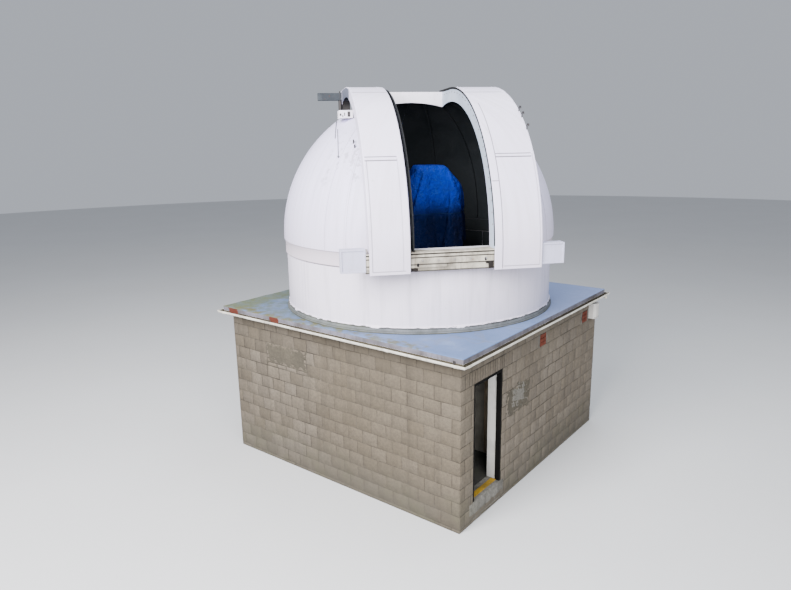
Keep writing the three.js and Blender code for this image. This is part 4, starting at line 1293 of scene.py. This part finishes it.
def addCover():
    p, q = flatSheet()
    steps = cover["steps"]
    away = np.sqrt((np.maximum(np.abs(p) - 0.2, 0)) ** 2 + (np.maximum(np.abs(q) - 0.3, 0)) ** 2)
    ripple = 0.02 * np.sin(7 * np.arctan2(q, p) + 0.7) * smoothStep(away, 0.2, 1.4)
    start = np.stack([q, p + 0.235, cover["start"] + ripple], axis=-1)
    mesh = meshOf("tarp", fromSlit(start), gridQuads(steps, steps).tolist())
    own = mesh.uv_layers.new(name="flat")
    corners = np.empty(len(mesh.loops), dtype=np.int32)
    mesh.loops.foreach_get("vertex_index", corners)
    uv = np.stack([p.ravel()[corners], q.ravel()[corners]], axis=-1)
    own.data.foreach_set("uv", uv.ravel().astype(np.float32))
    mesh.materials.append(finishes["tarp"])
    obj = linked("telescope_sheet", mesh)
    form = addCoverForm()
    form.modifiers.new("stop", "COLLISION")
    form.collision.thickness_outer = 0.012
    form.collision.cloth_friction = 18
    settle(obj, cover["frames"])
    ring = gather(obj)
    bpy.data.objects.remove(form)
    addTie(ring)
    obj.data.shade_smooth()
    thick = obj.modifiers.new("thickness", "SOLIDIFY")
    thick.thickness = 0.0025
    thick.offset = 0
    smooth = obj.modifiers.new("smooth", "SUBSURF")
    smooth.levels = 1
    smooth.render_levels = 1
    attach(obj, "building")
    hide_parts("telescope_cover")


def pointsOf(mesh):
    places = np.empty(len(mesh.vertices) * 3)
    mesh.vertices.foreach_get("co", places)
    return places.reshape(-1, 3)


# The sheet falls on the form as cloth, and its resting shape becomes its mesh. Where a key is given, the
# pinned ring moves from the mesh to that key while the rest follows
def settle(obj, frames, key=None):
    cloth = obj.modifiers.new("cloth", "CLOTH")
    for label, value in cover["cloth"].items():
        setattr(cloth.settings, label, value)
    if key:
        cloth.settings.vertex_group_mass = "tie"
    cloth.collision_settings.collision_quality = 3
    cloth.collision_settings.distance_min = 0.010
    cloth.collision_settings.use_self_collision = True
    cloth.collision_settings.self_distance_min = 0.008
    cloth.point_cache.frame_start = 1
    cloth.point_cache.frame_end = frames
    for step in range(1, frames + 1):
        if key:
            key.value = min(1.0, step / (0.8 * frames))
        bpy.context.scene.frame_set(step)
    graph = bpy.context.evaluated_depsgraph_get()
    rested = pointsOf(obj.evaluated_get(graph).data)
    obj.modifiers.remove(cloth)
    if key:
        obj.shape_key_clear()
    obj.data.vertices.foreach_set("co", rested.ravel())
    obj.data.update()
    bpy.context.scene.frame_set(1)


# The ring of sheet between two heights is drawn in towards the middle, by one factor all round
def gather(obj):
    places = pointsOf(obj.data)
    middle = fromSlit(np.array([*cover["middle"], 0.0]))
    ring = (places[:, 2] > cover["tieLow"]) & (places[:, 2] < cover["tieHigh"])
    chosen = np.flatnonzero(ring)
    obj.vertex_groups.new(name="tie").add(chosen.tolist(), 1.0, "REPLACE")
    drawn = places.copy()
    drawn[chosen, :2] = middle[:2] + (places[chosen, :2] - middle[:2]) * cover["drawn"]
    obj.shape_key_add(name="hung")
    key = obj.shape_key_add(name="tied")
    key.data.foreach_set("co", drawn.ravel().astype(np.float32))
    settle(obj, cover["tieFrames"], key)
    obj.vertex_groups.clear()
    return pointsOf(obj.data)[chosen] - middle


# Cord round the gathered ring: the furthest point of the sheet in each direction, smoothed,
# with a square section
def addTie(ring):
    turn = np.arctan2(ring[:, 1], ring[:, 0])
    reach = np.hypot(ring[:, 0], ring[:, 1])
    steps = 96
    angle = np.arange(steps) * 2 * math.pi / steps
    apart = np.abs((turn[None, :] - angle[:, None] + math.pi) % (2 * math.pi) - math.pi)
    radius = np.max(np.where(apart < 0.12, reach[None, :], 0.15), axis=1)
    radius = sum(np.roll(radius, k) for k in range(-2, 3)) / 5 + 0.004
    z = (cover["tieLow"] + cover["tieHigh"]) / 2
    middle = fromSlit(np.array([*cover["middle"], 0.0]))
    out = np.array([0.0, 1.0, 1.0, 0.0]) * cover["cord"]
    up = np.array([-0.5, -0.5, 0.5, 0.5]) * cover["cord"]
    around = radius[:, None] + out[None, :]
    height = np.broadcast_to(z + up, around.shape)
    rings = atAngle(around, angle[:, None], height) + middle
    addPiece("cover_tie", loftSolid(rings, closed=True), "building", "cord", 50)


addCover()
print("cover draped")

ringOutline = [
    (2.430, 3.897), (2.509, 3.897), (2.512, 3.900), (2.512, 3.914), (2.5095, 3.917), (2.5095, 4.119),
    (2.512, 4.122), (2.512, 4.138), (2.509, 4.141), (2.482, 4.141), (2.482, 3.925), (2.430, 3.925),
]
kinds = np.tile(np.isin(np.arange(12), (9, 10, 11)), 360)
piece = addPiece("ring_band", turnedSolid(ringOutline, 360), "dome", "ring", 40,
    second="inside", kinds=kinds)
# Painted shade: dark at the ring's top and bottom edges, for the shadow in the gaps under the shell and
# over the drum
addValues(piece, "seam", np.tile([0.9, 0.9, 0.6, 0, 0, 0, 0, 0.5, 0.9, 0.9, 0, 0], 360))
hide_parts("dome_ring")

slit = {"half": 0.6353, "back": -0.5753, "corner": math.atan2(0.6353, -0.5753)}
gores = {"front": (None, 39.2, 70), "middle": (39.2, 110.0, 110), "rear": (110.0, 180.0, 110)}
sides = {"right": 1, "left": -1}
ribAngles = (49.1, 84.0, 147.0)
goreGap = 0.02


# Shell gore on one side of the slit. Columns are angles from the slit's direction, rows go up the sphere
# from the ring to the slit's edge, where the radius is half the slit over sin(angle), or its back over
# cos(angle) past the corner. The outer face has a shallow groove at each seam angle.
def goreGrid(radius, low, high, sign, columns, rows, outside):
    bottom = math.asin((dome["bottom"] - dome["centre"]) / radius)
    first = math.asin(slit["half"] / (radius * math.cos(bottom))) if low is None else math.radians(low)
    last = math.radians(high)
    t = np.linspace(0, 1, columns)
    angle = first + (last - first) * (t ** 1.6 if low is None else t)
    if first < slit["corner"] < last:
        angle[np.argmin(np.abs(angle - slit["corner"]))] = slit["corner"]
    for seam in np.radians(ribAngles):
        if outside and first < seam < last:
            near = np.argmin(np.abs(angle - seam))
            angle[near - 1:near + 2] = seam + np.array([-0.0022, 0, 0.0022])
    edge = np.where(angle <= slit["corner"] + 1e-9, slit["half"] / np.sin(np.maximum(angle, 1e-3)),
        slit["back"] / np.cos(angle))
    top = np.arccos(np.clip(edge / radius, -1, 1))
    rise = bottom + (top - bottom)[None, :] * np.linspace(0, 1, rows)[:, None]
    wide = np.broadcast_to(angle[None, :], rise.shape)
    local = atAngle(np.cos(rise), wide, np.sin(rise))
    if outside:
        groove = sum(np.exp(-((wide - seam) / 0.0012) ** 2) for seam in np.radians(ribAngles))
        inside = smoothStep(rise, bottom, bottom + 0.02) * smoothStep(top[None, :] - rise, 0, 0.02)
        radius = radius - 0.0005 + (0.0010 * waves(local * 2.53, 101, 1.1, 3) - 0.0035 * groove) * inside
        radius = radius[..., None]
    points = local * radius + np.array([0, 0, dome["centre"]])
    points[..., 1] *= sign
    return points


for name, (low, high, columns) in gores.items():
    for sideName, sign in sides.items():
        ends = (None if low is None else low + goreGap, high - goreGap)
        outer = goreGrid(dome["outer"], *ends, sign, columns, 60, True)
        inner = goreGrid(dome["inner"], *ends, sign, columns, 60, False)
        solid = shellSolid(fromSlit(outer), fromSlit(inner))
        label = "gore_%s_%s" % (sideName, name)
        piece = addPiece(label, solid, "dome", "shell", 40, second="inside", weld=True)
        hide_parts("shell_%s_%s" % (sideName, name))


# Raised joint strips over the main seams: a shallow arched section carried up the sphere
def stripOnSphere(angleDeg, sign, wide, thick, radius, low, inset, stations=70):
    angle = math.radians(angleDeg)
    edge = slit["half"] / math.sin(angle) if angle <= slit["corner"] else slit["back"] / math.cos(angle)
    top = math.acos(min(edge / radius, 1)) - inset
    rise = np.linspace(low, top, stations)
    across = np.array([-1, -0.7, 0.7, 1, 1, -1]) * wide / 2
    out = np.array([0.1, 1, 1, 0.1, -0.8, -0.8]) * thick
    ray = atAngle(np.cos(rise), angle, np.sin(rise))
    side = np.array([-math.sin(angle), math.cos(angle), 0])
    rings = (radius + out)[None, :, None] * ray[:, None, :] + across[None, :, None] * side
    rings = rings + np.array([0, 0, dome["centre"]])
    rings[..., 1] *= sign
    return loftSolid(fromSlit(rings))


stripSeams = [0.75, 0.0, 0.0, 0.75, 0.75, 0.75]
for sideName, sign in sides.items():
    for index, angleDeg in enumerate((39.2, 49.1, 84.0, 110.0, 147.0)):
        wide = 0.040 if index % 3 == 0 else 0.032
        strip = stripOnSphere(angleDeg, sign, wide, 0.0022, dome["outer"], -0.008, 0.006)
        name = "seam_strip_%s_%d" % (sideName, index + 1)
        piece = addPiece(name, strip, "dome", "shell", 30)
        addValues(piece, "seam", np.tile(stripSeams, 70))
    for index, angleDeg in enumerate((24.0, 39.2, 62.0, 85.0, 110.0, 136.0, 158.0)):
        rib = stripOnSphere(angleDeg, sign, 0.05, -0.034, dome["inner"] - 0.001, 0.01, 0.03, 50)
        addPiece("inner_rib_%s_%d" % (sideName, index + 1), rib, "dome", "inside", 30)
strip = stripOnSphere(179.9999, 1, 0.034, 0.0022, dome["outer"], -0.008, 0.006)
piece = addPiece("seam_strip_back", strip, "dome", "shell", 30)
addValues(piece, "seam", np.tile(stripSeams, 70))
print("shell done")


# Sill: the shell's strip under the slit and a shelf behind it, one section for each place across
def addSill():
    v = np.linspace(-0.635, 0.635, 61)[:, None]
    heights = np.array([4.1413, 4.160, 4.180, 4.200, 4.216])

    def onSphere(radius, z):
        return np.sqrt(radius ** 2 - (z - dome["centre"]) ** 2 - v ** 2)

    outer = np.concatenate([onSphere(dome["outer"], z) for z in heights], axis=1)
    ledge = [onSphere(dome["outer"], 4.22) - 0.004, *(np.full_like(v, u) for u in (2.354, 2.350, 2.350))]
    inner = np.concatenate([onSphere(dome["inner"], z) for z in (4.202, 4.180, 4.160, 4.1413)], axis=1)
    u = np.concatenate([outer, *ledge, inner], axis=1)
    z = np.concatenate([heights, [4.220, 4.220, 4.216, 4.202], [4.202, 4.180, 4.160, 4.1413]])
    rings = np.stack(np.broadcast_arrays(u, v, z[None, :]), axis=-1)
    piece = addPiece("sill_strip", loftSolid(fromSlit(rings)), "dome", "sill", 40)
    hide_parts("slit_sill")


# Red marks lie along the back of the sill: a boxed mask on the white coat
def sillFinish():
    material = finishes["steel"].copy()
    material.name = "stainedSill"
    tree = material.node_tree
    before = tree.nodes["Principled BSDF"].inputs["Base Color"].links[0].from_socket
    mask = patch(tree, 5.0, 6.0, 0.53, 0.08, Shift=(2, 1, 7))
    place = inBox(tree, (-2.3, -1.9, 4.19), (-1.35, -1.15, 4.25), 0.12, 0.3)
    return finished(material, tinted(tree, before, scaled(tree, mask, place), 0.8, (0.42, 0.14, 0.12)))


finishes["sill"] = sillFinish()
addSill()

coaming = {
    "near": 0.623, "far": 0.635, "reach": 2.690, "rise": 2.600, "centre": 4.160,
    "innerReach": 2.470, "innerRise": 2.345, "innerCentre": 4.200, "foot": 4.2203, "back": -0.575,
}


# Path over the slit: an arc of an ellipse from its foot to the top, then level to the back
def archPath(reach, rise, centre, foot, back, stations):
    start = math.asin((foot - centre) / rise)
    angle = np.linspace(start, math.pi / 2, int(stations * 0.86))
    arc = np.column_stack([reach * np.cos(angle), centre + rise * np.sin(angle)])
    rest = stations - len(arc)
    tail = np.column_stack([np.linspace(0, back, rest + 1)[1:], np.full(rest, centre + rise)])
    return np.concatenate([arc, tail])


# Even points along a path, by its length
def evenPath(path, stations):
    length = np.concatenate([[0], np.cumsum(np.linalg.norm(np.diff(path, axis=0), axis=1))])
    at = np.linspace(0, length[-1], stations)
    return np.column_stack([np.interp(at, length, path[:, 0]), np.interp(at, length, path[:, 1])])


# Solid whose section has a line (u, z) and a place across the slit for each of its corners
def slitLoft(corners):
    rings = []
    for line, across in corners:
        rings.append(np.column_stack([line[:, 0], np.full(len(line), across), line[:, 1]]))
    return loftSolid(fromSlit(np.stack(rings, axis=1)))


def addCoaming(sideName, sign):
    c = coaming
    outer = evenPath(archPath(c["reach"], c["rise"], c["centre"], c["foot"], c["back"], 500), 150)
    start = math.asin((c["foot"] - c["innerCentre"]) / c["innerRise"])
    angle = np.linspace(start, math.acos(c["back"] / c["innerReach"]), 500)
    inner = evenPath(np.column_stack([
        c["innerReach"] * np.cos(angle), c["innerCentre"] + c["innerRise"] * np.sin(angle),
    ]), 150)
    near, far = sign * c["near"], sign * c["far"]
    solid = slitLoft([(outer, near), (inner, near), (inner, far), (outer, far)])
    # Painted shade: the far face takes the black inside finish, and the left coaming is black rubber all
    # over, for the shade beside the shutter's edge
    kinds = np.concatenate([np.tile([0, 0, 1, 0], 149), [0, 0]])
    piece = addPiece("coaming_" + sideName, solid, "dome", "coaming" if sign > 0 else "rubber",
        40, 0.002, second="inside", kinds=kinds)
    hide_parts("slit_coaming_" + sideName)
    tops = evenPath(outer, 26)[2:-1]
    inside = evenPath(inner, 26)[2:-1]
    spots = tops + (inside - tops) * 0.22
    across = np.full(len(spots), sign * (c["near"] - 0.0002))
    centres = fromSlit(np.column_stack([spots[:, 0], across, spots[:, 1]]))
    facing = fromSlit(np.array([0, -sign, 0]))
    addBolts("coaming_bolts_" + sideName, centres, facing, 0.009, "dome", "bolts")


for sideName, sign in sides.items():
    addCoaming(sideName, sign)

# Plate across the slit's upper end: level above, on a sphere below
endPlate = {"half": 0.6227, "front": -0.550, "back": -0.575, "top": 6.760, "reach": 2.457}
v = np.linspace(-endPlate["half"], endPlate["half"], 61)
rings = [np.column_stack([np.full(61, endPlate[end]), v, np.full(61, endPlate["top"])])
    for end in ("front", "back")]
for end in ("back", "front"):
    u = np.full(61, endPlate[end])
    z = dome["centre"] + np.sqrt(endPlate["reach"] ** 2 - u * u - v * v)
    rings.append(np.column_stack([u, v, z]))
solid = loftSolid(fromSlit(np.stack(rings, axis=1)))
piece = addPiece("end_plate", solid, "dome", "plate", 40, 0.003)
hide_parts("slit_end_plate")
print("slit edges done")


def softenedSides(node, name, finish, bevel):
    for sideName in sides:
        softened(node + sideName, name + sideName, "dome", finish, "white_steel", bevel)


softened("lower_track", "lower_track_beam", "dome", "cream", "white_steel", 0.0025)
# Track end boxes coloured blue-lavender: painted shade
softenedSides("track_end_", "track_box_", "endBox", 0.004)
softenedSides("track_bracket_", "track_arm_", "steel", 0.003)
softened("upper_track", "upper_track_beam", "dome", "beam", "grey_steel", 0.004)
# Upper brackets coloured dark grey: painted shade under the shutters' tails
softenedSides("upper_bracket_", "upper_arm_", "web", 0.003)
softenedSides("side_box_", "side_case_", "plate", 0.004)
slitAxes = fromSlit(np.eye(3))


def addSlitBoxes(name, boxes, body, finish, cut=0.12):
    boxes = np.array(boxes, float)
    low, high = boxes.min(axis=1), boxes.max(axis=1)
    solid = boxesSolid(fromSlit((low + high) / 2), (high - low) / 2, slitAxes, cut)
    return addPiece(name, solid, body, finish, 30)


addSlitBoxes("track_rust_blocks", [
    ((2.662, -0.678, 3.926), (2.702, -0.577, 3.974)), ((2.662, 0.542, 3.925), (2.702, 0.604, 4.040)),
    ((2.650, 0.497, 4.002), (2.698, 0.533, 4.028)),
], "dome", "rust")
# Painted shade: black backs inside the lower track's holes
addSlitBoxes("track_hole_shade", [
    ((2.655, -0.587, 3.992), (2.6885, -0.553, 4.048)), ((2.655, 0.475, 4.045), (2.6885, 0.509, 4.101)),
], "dome", "rubber", 0.3)
# Painted shade: black backs in the side boxes' slots
addSlitBoxes("side_case_slot_shade", [
    ((0.69, 1.3185, 6.2725), (0.724, 1.3515, 6.3495)), ((0.69, -1.3515, 6.2725), (0.724, -1.3185, 6.3495)),
], "dome", "rubber", 0.05)
# Dark marks on the left side box; the fourth is painted shade over the slot's mouth, and the last two are
# painted shadow lines along its lower and right edges
addSlitBoxes("side_case_marks_and_shadow_lines", [
    ((0.7295, -1.492, 6.283), (0.736, -1.466, 6.322)), ((0.7295, -1.449, 6.266), (0.735, -1.434, 6.296)),
    ((0.7295, -1.417, 6.283), (0.735, -1.404, 6.335)), ((0.7295, -1.3585, 6.267), (0.7315, -1.3125, 6.354)),
    ((0.7295, -1.495, 6.2405), (0.7315, -1.2645, 6.2465)),
    ((0.7295, -1.2665, 6.247), (0.7315, -1.2605, 6.368)),
], "dome", "dark", 0.2)
stopPlate = ((-0.764, -1.352, 6.600), (-0.636, -1.340, 6.790))
addSlitBoxes("upper_stop_plate", [stopPlate], "dome", "dark", 0.08)
addSlitBoxes("upper_beam_flanges", [
    ((-0.766, -1.764, 6.6235), (-0.634, 1.764, 6.6300)),
    ((-0.766, -1.764, 6.7470), (-0.6395, 1.764, 6.7540)),
], "dome", "beam", 0.02)
spots = fromSlit(np.array([(2.6905, v, 4.085) for v in np.arange(-1.25, 1.26, 0.25)]))
addBolts("track_bolts", spots, slitAxes[0], 0.009, "dome", "bolts")
spots = fromSlit(np.array([(-0.70, -1.3525, 6.70), (-0.70, -1.3525, 6.645)]))
addBolts("upper_stop_bolt", spots, -slitAxes[1], 0.016, "dome", "dark")


# Point on the shell above (u, v), lifted off it
def onShell(u, v, lift):
    u, v = np.asarray(u, float), np.asarray(v, float)
    radius = dome["outer"] + lift
    return np.stack([u, v, dome["centre"] + np.sqrt(radius ** 2 - u ** 2 - v ** 2)], axis=-1)


# Rods that lie along the shell below the side boxes, with a small foot at the end
def addShellRods(sideName, sign):
    for index, (start, end) in enumerate([((0.19, -1.50), (0.915, -1.60)),
            ((0.70, -1.535), (1.335, -1.595))]):
        t = np.linspace(0, 1, 24)
        u = start[0] + (end[0] - start[0]) * t
        v = -sign * (start[1] + (end[1] - start[1]) * t)
        rod = rodSolid(fromSlit(onShell(u, v, 0.008)), 0.0058)
        addPiece("shell_rod_%s_%d" % (sideName, index + 1), rod, "dome", "fitting", 40)
    foot, half = onShell(1.345, sign * 1.596, 0.012), np.array([0.022, 0.014, 0.016])
    feet = [(foot - half, foot + half)]
    addSlitBoxes("rod_foot_" + sideName, feet, "dome", "fitting", 0.25)
    for name, place, radius, bends in (
        ("shell_hook_", (1.36, 1.345), 0.010, [(0, 0, 0.035), (0.02, 0, 0.055), (0.05, 0, 0.050),
            (0.07, 0, 0.02)]),
        ("shell_peg_", (1.45, 1.335), 0.013, [(0, 0, 0.03), (0.03, 0, 0.045)]),
    ):
        path = onShell(place[0], sign * place[1], 0.0) + np.array([(0, 0, -0.004), *bends])
        addPiece(name + sideName, rodSolid(fromSlit(path), radius), "dome", "dark", 40)


for sideName, sign in sides.items():
    addShellRods(sideName, sign)
print("tracks done")

shutter = {"reach": 2.740, "rise": 2.655, "centre": 4.140, "bottom": 3.903, "tail": -0.780, "skin": 0.012}
shutterSides = {
    "right": {
        "sign": 1, "near": 0.620, "far": 1.385, "flangeFoot": 4.285, "strip": 0.748, "stripProud": 0.0025,
        "levels": [(5.590, 0.748, 1.335, 0.85), (5.638, 0.748, 1.335, 0.8), (5.235, 0.626, 0.748, 0.65),
            (6.655, 0.624, 1.32, 0.45), (3.950, 0.760, 1.352, 0.5)],
        "uprights": [(0.748, 3.91, 6.44, 0.75), (1.352, 3.95, 5.63, 0.35)],
    },
    "left": {
        "sign": -1, "near": 0.695, "far": 1.315, "flangeFoot": 4.240, "strip": 0.800, "stripProud": 0.0012,
        "levels": [(5.571, 0.800, 1.290, 0.85), (5.625, 0.800, 1.290, 0.8), (6.655, 0.70, 1.29, 0.45),
            (3.950, 0.760, 1.268, 0.5)],
        "uprights": [(0.800, 3.95, 5.60, 0.3), (1.268, 3.95, 5.58, 0.5)],
    },
}


# Line of a shutter in the plane of the slit's direction: upright, an arc of an ellipse, then level
def shutterLine(inset, extraHeights):
    reach, rise = shutter["reach"] - inset, shutter["rise"] - inset
    extra = np.asarray(extraHeights, dtype=float)
    upright = np.linspace(shutter["bottom"], shutter["centre"], 8)[:-1]
    upright = np.unique(np.concatenate([upright, extra[extra < shutter["centre"]]]))
    raised = np.arcsin((extra[extra > shutter["centre"]] - shutter["centre"]) / shutter["rise"])
    angle = np.unique(np.concatenate([np.linspace(0, math.pi / 2, 150), raised]))
    tail = np.linspace(0, shutter["tail"], 14)[1:]
    u = np.concatenate([np.full(len(upright), reach), reach * np.cos(angle), tail])
    top = shutter["centre"] + rise
    z = np.concatenate([upright, shutter["centre"] + rise * np.sin(angle), np.full(13, top)])
    return np.column_stack([u, z])


# Direction square to a line, outwards
def lineNormals(line):
    along = np.gradient(line, axis=0)
    normal = np.column_stack([along[:, 1], -along[:, 0]])
    return normal / np.linalg.norm(normal, axis=1, keepdims=True)


# Skin: the line carried across. A seam is 1 - smoothstep(distance from its line, half width, edge), inside
# its own ends; panels between seams stand 1 to 3 mm proud of each other
def addShutterSkin(sideName, values):
    sign, near, far, strip = values["sign"], values["near"], values["far"], values["strip"]
    low, high = values["levels"][0][0], values["levels"][1][0]
    edges = np.array([-0.0095, -0.0055, 0.0055, 0.0095])
    heights = np.concatenate([level[0] + edges for level in values["levels"]])
    line, inside = shutterLine(0, heights), shutterLine(shutter["skin"], heights)
    normal = lineNormals(line)
    places = [place[0] + edges for place in values["uprights"]]
    v = np.unique(np.concatenate([np.linspace(near, far, 40), [near + 0.003, far - 0.003], *places]))
    out, height, across = line[:, :1], line[:, 1:], v[None, :]
    seam = np.zeros((len(line), len(v)))
    for level, first, last, depth in values["levels"]:
        mark = 1 - smoothStep(np.abs(height - level), 0.0055, 0.0095)
        seam = np.maximum(seam, depth * mark * (across > first) * (across < last) * (out > 0.2))
    for place, foot, top, depth in values["uprights"]:
        mark = 1 - smoothStep(np.abs(across - place), 0.0055, 0.0095)
        seam = np.maximum(seam, depth * mark * (height > foot) * (height < top) * (out > 0.2))
    beyond = smoothStep(across, strip - 0.001, strip + 0.001)
    above = smoothStep(height, low - 0.001, low + 0.001)
    band = above * (1 - smoothStep(height, high - 0.001, high + 0.001))
    proud = (1 - beyond) * np.where((height < 6.44) | (out > 1.37), 1.0, 0.0)
    cap = smoothStep(height, 6.654, 6.656)
    flat = np.stack(np.broadcast_arrays(out, across, height), axis=-1)
    relief = 0.0028 * band * beyond * (out > 0) + values["stripProud"] * proud + 0.002 * cap - 0.002
    relief = relief - 0.003 * seam + 0.0009 * waves(flat, 111 + sign, 0.8, 3)
    relief = np.where(np.minimum(across - near, far - across) < 0.001, relief - 0.002, relief)
    u, z = out + normal[:, :1] * relief, height + normal[:, 1:] * relief
    outer = np.stack([u, sign * across + 0 * relief, z], axis=-1)
    inner = np.stack(np.broadcast_arrays(inside[:, :1], sign * across, inside[:, 1:]), axis=-1)
    solid, body = shellSolid(fromSlit(outer), fromSlit(inner)), sideName + "_shutter"
    piece = addPiece("skin_" + sideName, solid, body, "shutter", 50, second="underside")
    addValues(piece, "seam", np.concatenate([seam.ravel(), np.zeros(seam.size)]))
    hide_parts(sideName + "_shutter")


flange = {"stations": 170, "inset": 0.006, "circle": 2.46, "back": -0.628, "wide": 0.010}


# Flange: stations between the shutter's line and a circle round the dome, closed off at the back
def addShutterFlange(sideName, values):
    sign, far = values["sign"], values["far"]
    foot = values["flangeFoot"]
    stations, circle = flange["stations"], flange["circle"]
    reach, rise = shutter["reach"] - flange["inset"], shutter["rise"] - flange["inset"]
    outer = evenPath(archPath(reach, rise, shutter["centre"], foot, flange["back"], 700), stations)
    first, last = math.asin((foot - dome["centre"]) / circle), math.acos(flange["back"] / circle)
    angle = np.linspace(first, last, 700)
    inner = np.column_stack([circle * np.cos(angle), dome["centre"] + circle * np.sin(angle)])
    inner = evenPath(inner, stations)
    front, back = sign * (far - flange["wide"]), sign * far
    solid = slitLoft([(outer, front), (inner, front), (inner, back), (outer, back)])
    body = sideName + "_shutter"
    kinds = np.concatenate([np.tile([1, 0, 0, 0], stations - 1), [0, 0]])
    addPiece("flange_" + sideName, solid, body, "flange", 40, 0.002, second="underside",
        kinds=kinds)
    tail = [((-0.780, far - 0.010, 6.765), (-0.628, far, 6.790))]
    near = values["near"]
    shoes = [((2.697, near + 0.11, 4.2203), (2.734, far - 0.11, 4.2603))]
    for start in (near + 0.11, far - 0.21):
        shoes.append(((-0.740, start, 6.7563), (-0.660, start + 0.1, 6.789)))
    for name, boxes, finish in (("tail_lip", tail, "shutter"), ("shoes", shoes, "dark")):
        boxes = np.array(boxes) * [1, sign, 1]
        addSlitBoxes("%s_%s" % (name, sideName), boxes, body, finish, 0.06)


def addShutterBolts(sideName, values):
    sign, body = values["sign"], sideName + "_shutter"
    line = shutterLine(0, [])
    normal = lineNormals(line)
    even = evenPath(line[8:-6], 24)
    centres, normals = [], []
    for point in even:
        near = np.argmin(np.linalg.norm(line - point, axis=1))
        for across in (values["strip"] - 0.03, values["far"] - 0.02):
            u, z = point + normal[near] * 0.0004
            centres.append((u, sign * across, z))
            normals.append((normal[near, 0], 0, normal[near, 1]))
    addBolts("skin_screws_" + sideName, fromSlit(np.array(centres)), fromSlit(np.array(normals)), 0.0055,
        body, "shutter")


for sideName, values in shutterSides.items():
    addShutterSkin(sideName, values)
    addShutterFlange(sideName, values)
    addShutterBolts(sideName, values)

# Rubber seal under the right shutter's inner edge: a small rounded section carried over the slit. It
# reaches out over the skin's edge, so its black also stands for the shadow in the gap over the coaming:
# painted shade
seal = {"outer": (2.7306, 2.650), "inner": (2.697, 2.6275), "foot": 4.268}
sealOuter, sealInner = (
    evenPath(archPath(*seal[line], shutter["centre"], seal["foot"], shutter["tail"], 600), 140)
    for line in ("outer", "inner")
)
sealSection = [
    (-0.40, 0.6125), (0.6, 0.6120), (1.0, 0.617), (1.0, 0.629),
    (0.7, 0.6325), (0.45, 0.632), (0.45, 0.6197), (-0.40, 0.6197),
]
solid = slitLoft([(sealOuter + (sealInner - sealOuter) * mix, across) for mix, across in sealSection])
addPiece("edge_seal_right", solid, "right_shutter", "rubber", 50)

# Hooks that stand on the right shutter's outer edge
for index, (u, z) in enumerate([(1.588, 6.300), (1.729, 6.205), (1.963, 6.010)]):
    base = np.array([u, 1.372, z])
    path = base + np.array([(0, 0, -0.01), (0.005, 0, 0.045), (0.03, 0.004, 0.075), (0.065, 0.004, 0.07),
        (0.075, 0.004, 0.04)])
    addPiece("edge_hook_%d" % (index + 1), rodSolid(fromSlit(path), 0.010), "right_shutter", "dark",
        40)
print("shutters done")


# Floor: a wide flat disc of points, its rim far outside the view
def addFloor():
    angle = fullTurn(96)
    radius = np.array([0.5, 12.0, 60.0])[:, None]
    points = atAngle(radius, angle, -0.002)
    faces = gridQuads(3, 96, wrapCols=True).tolist() + [list(range(96))]
    mesh = meshOf("floor", points, [face[::-1] if len(face) == 4 else face for face in faces])
    material, tree = startMaterial("paleFloor", 0.9, 0.0, 0.2)
    cloud = patch(tree, 0.3, 3.0, 0.5, 0.3)
    color = mixColor(tree, cloud, (0.60, 0.605, 0.61), (0.62, 0.625, 0.63))
    mesh.materials.append(finished(material, color))
    obj = linked("floor", mesh)


addFloor()

print("scene made")
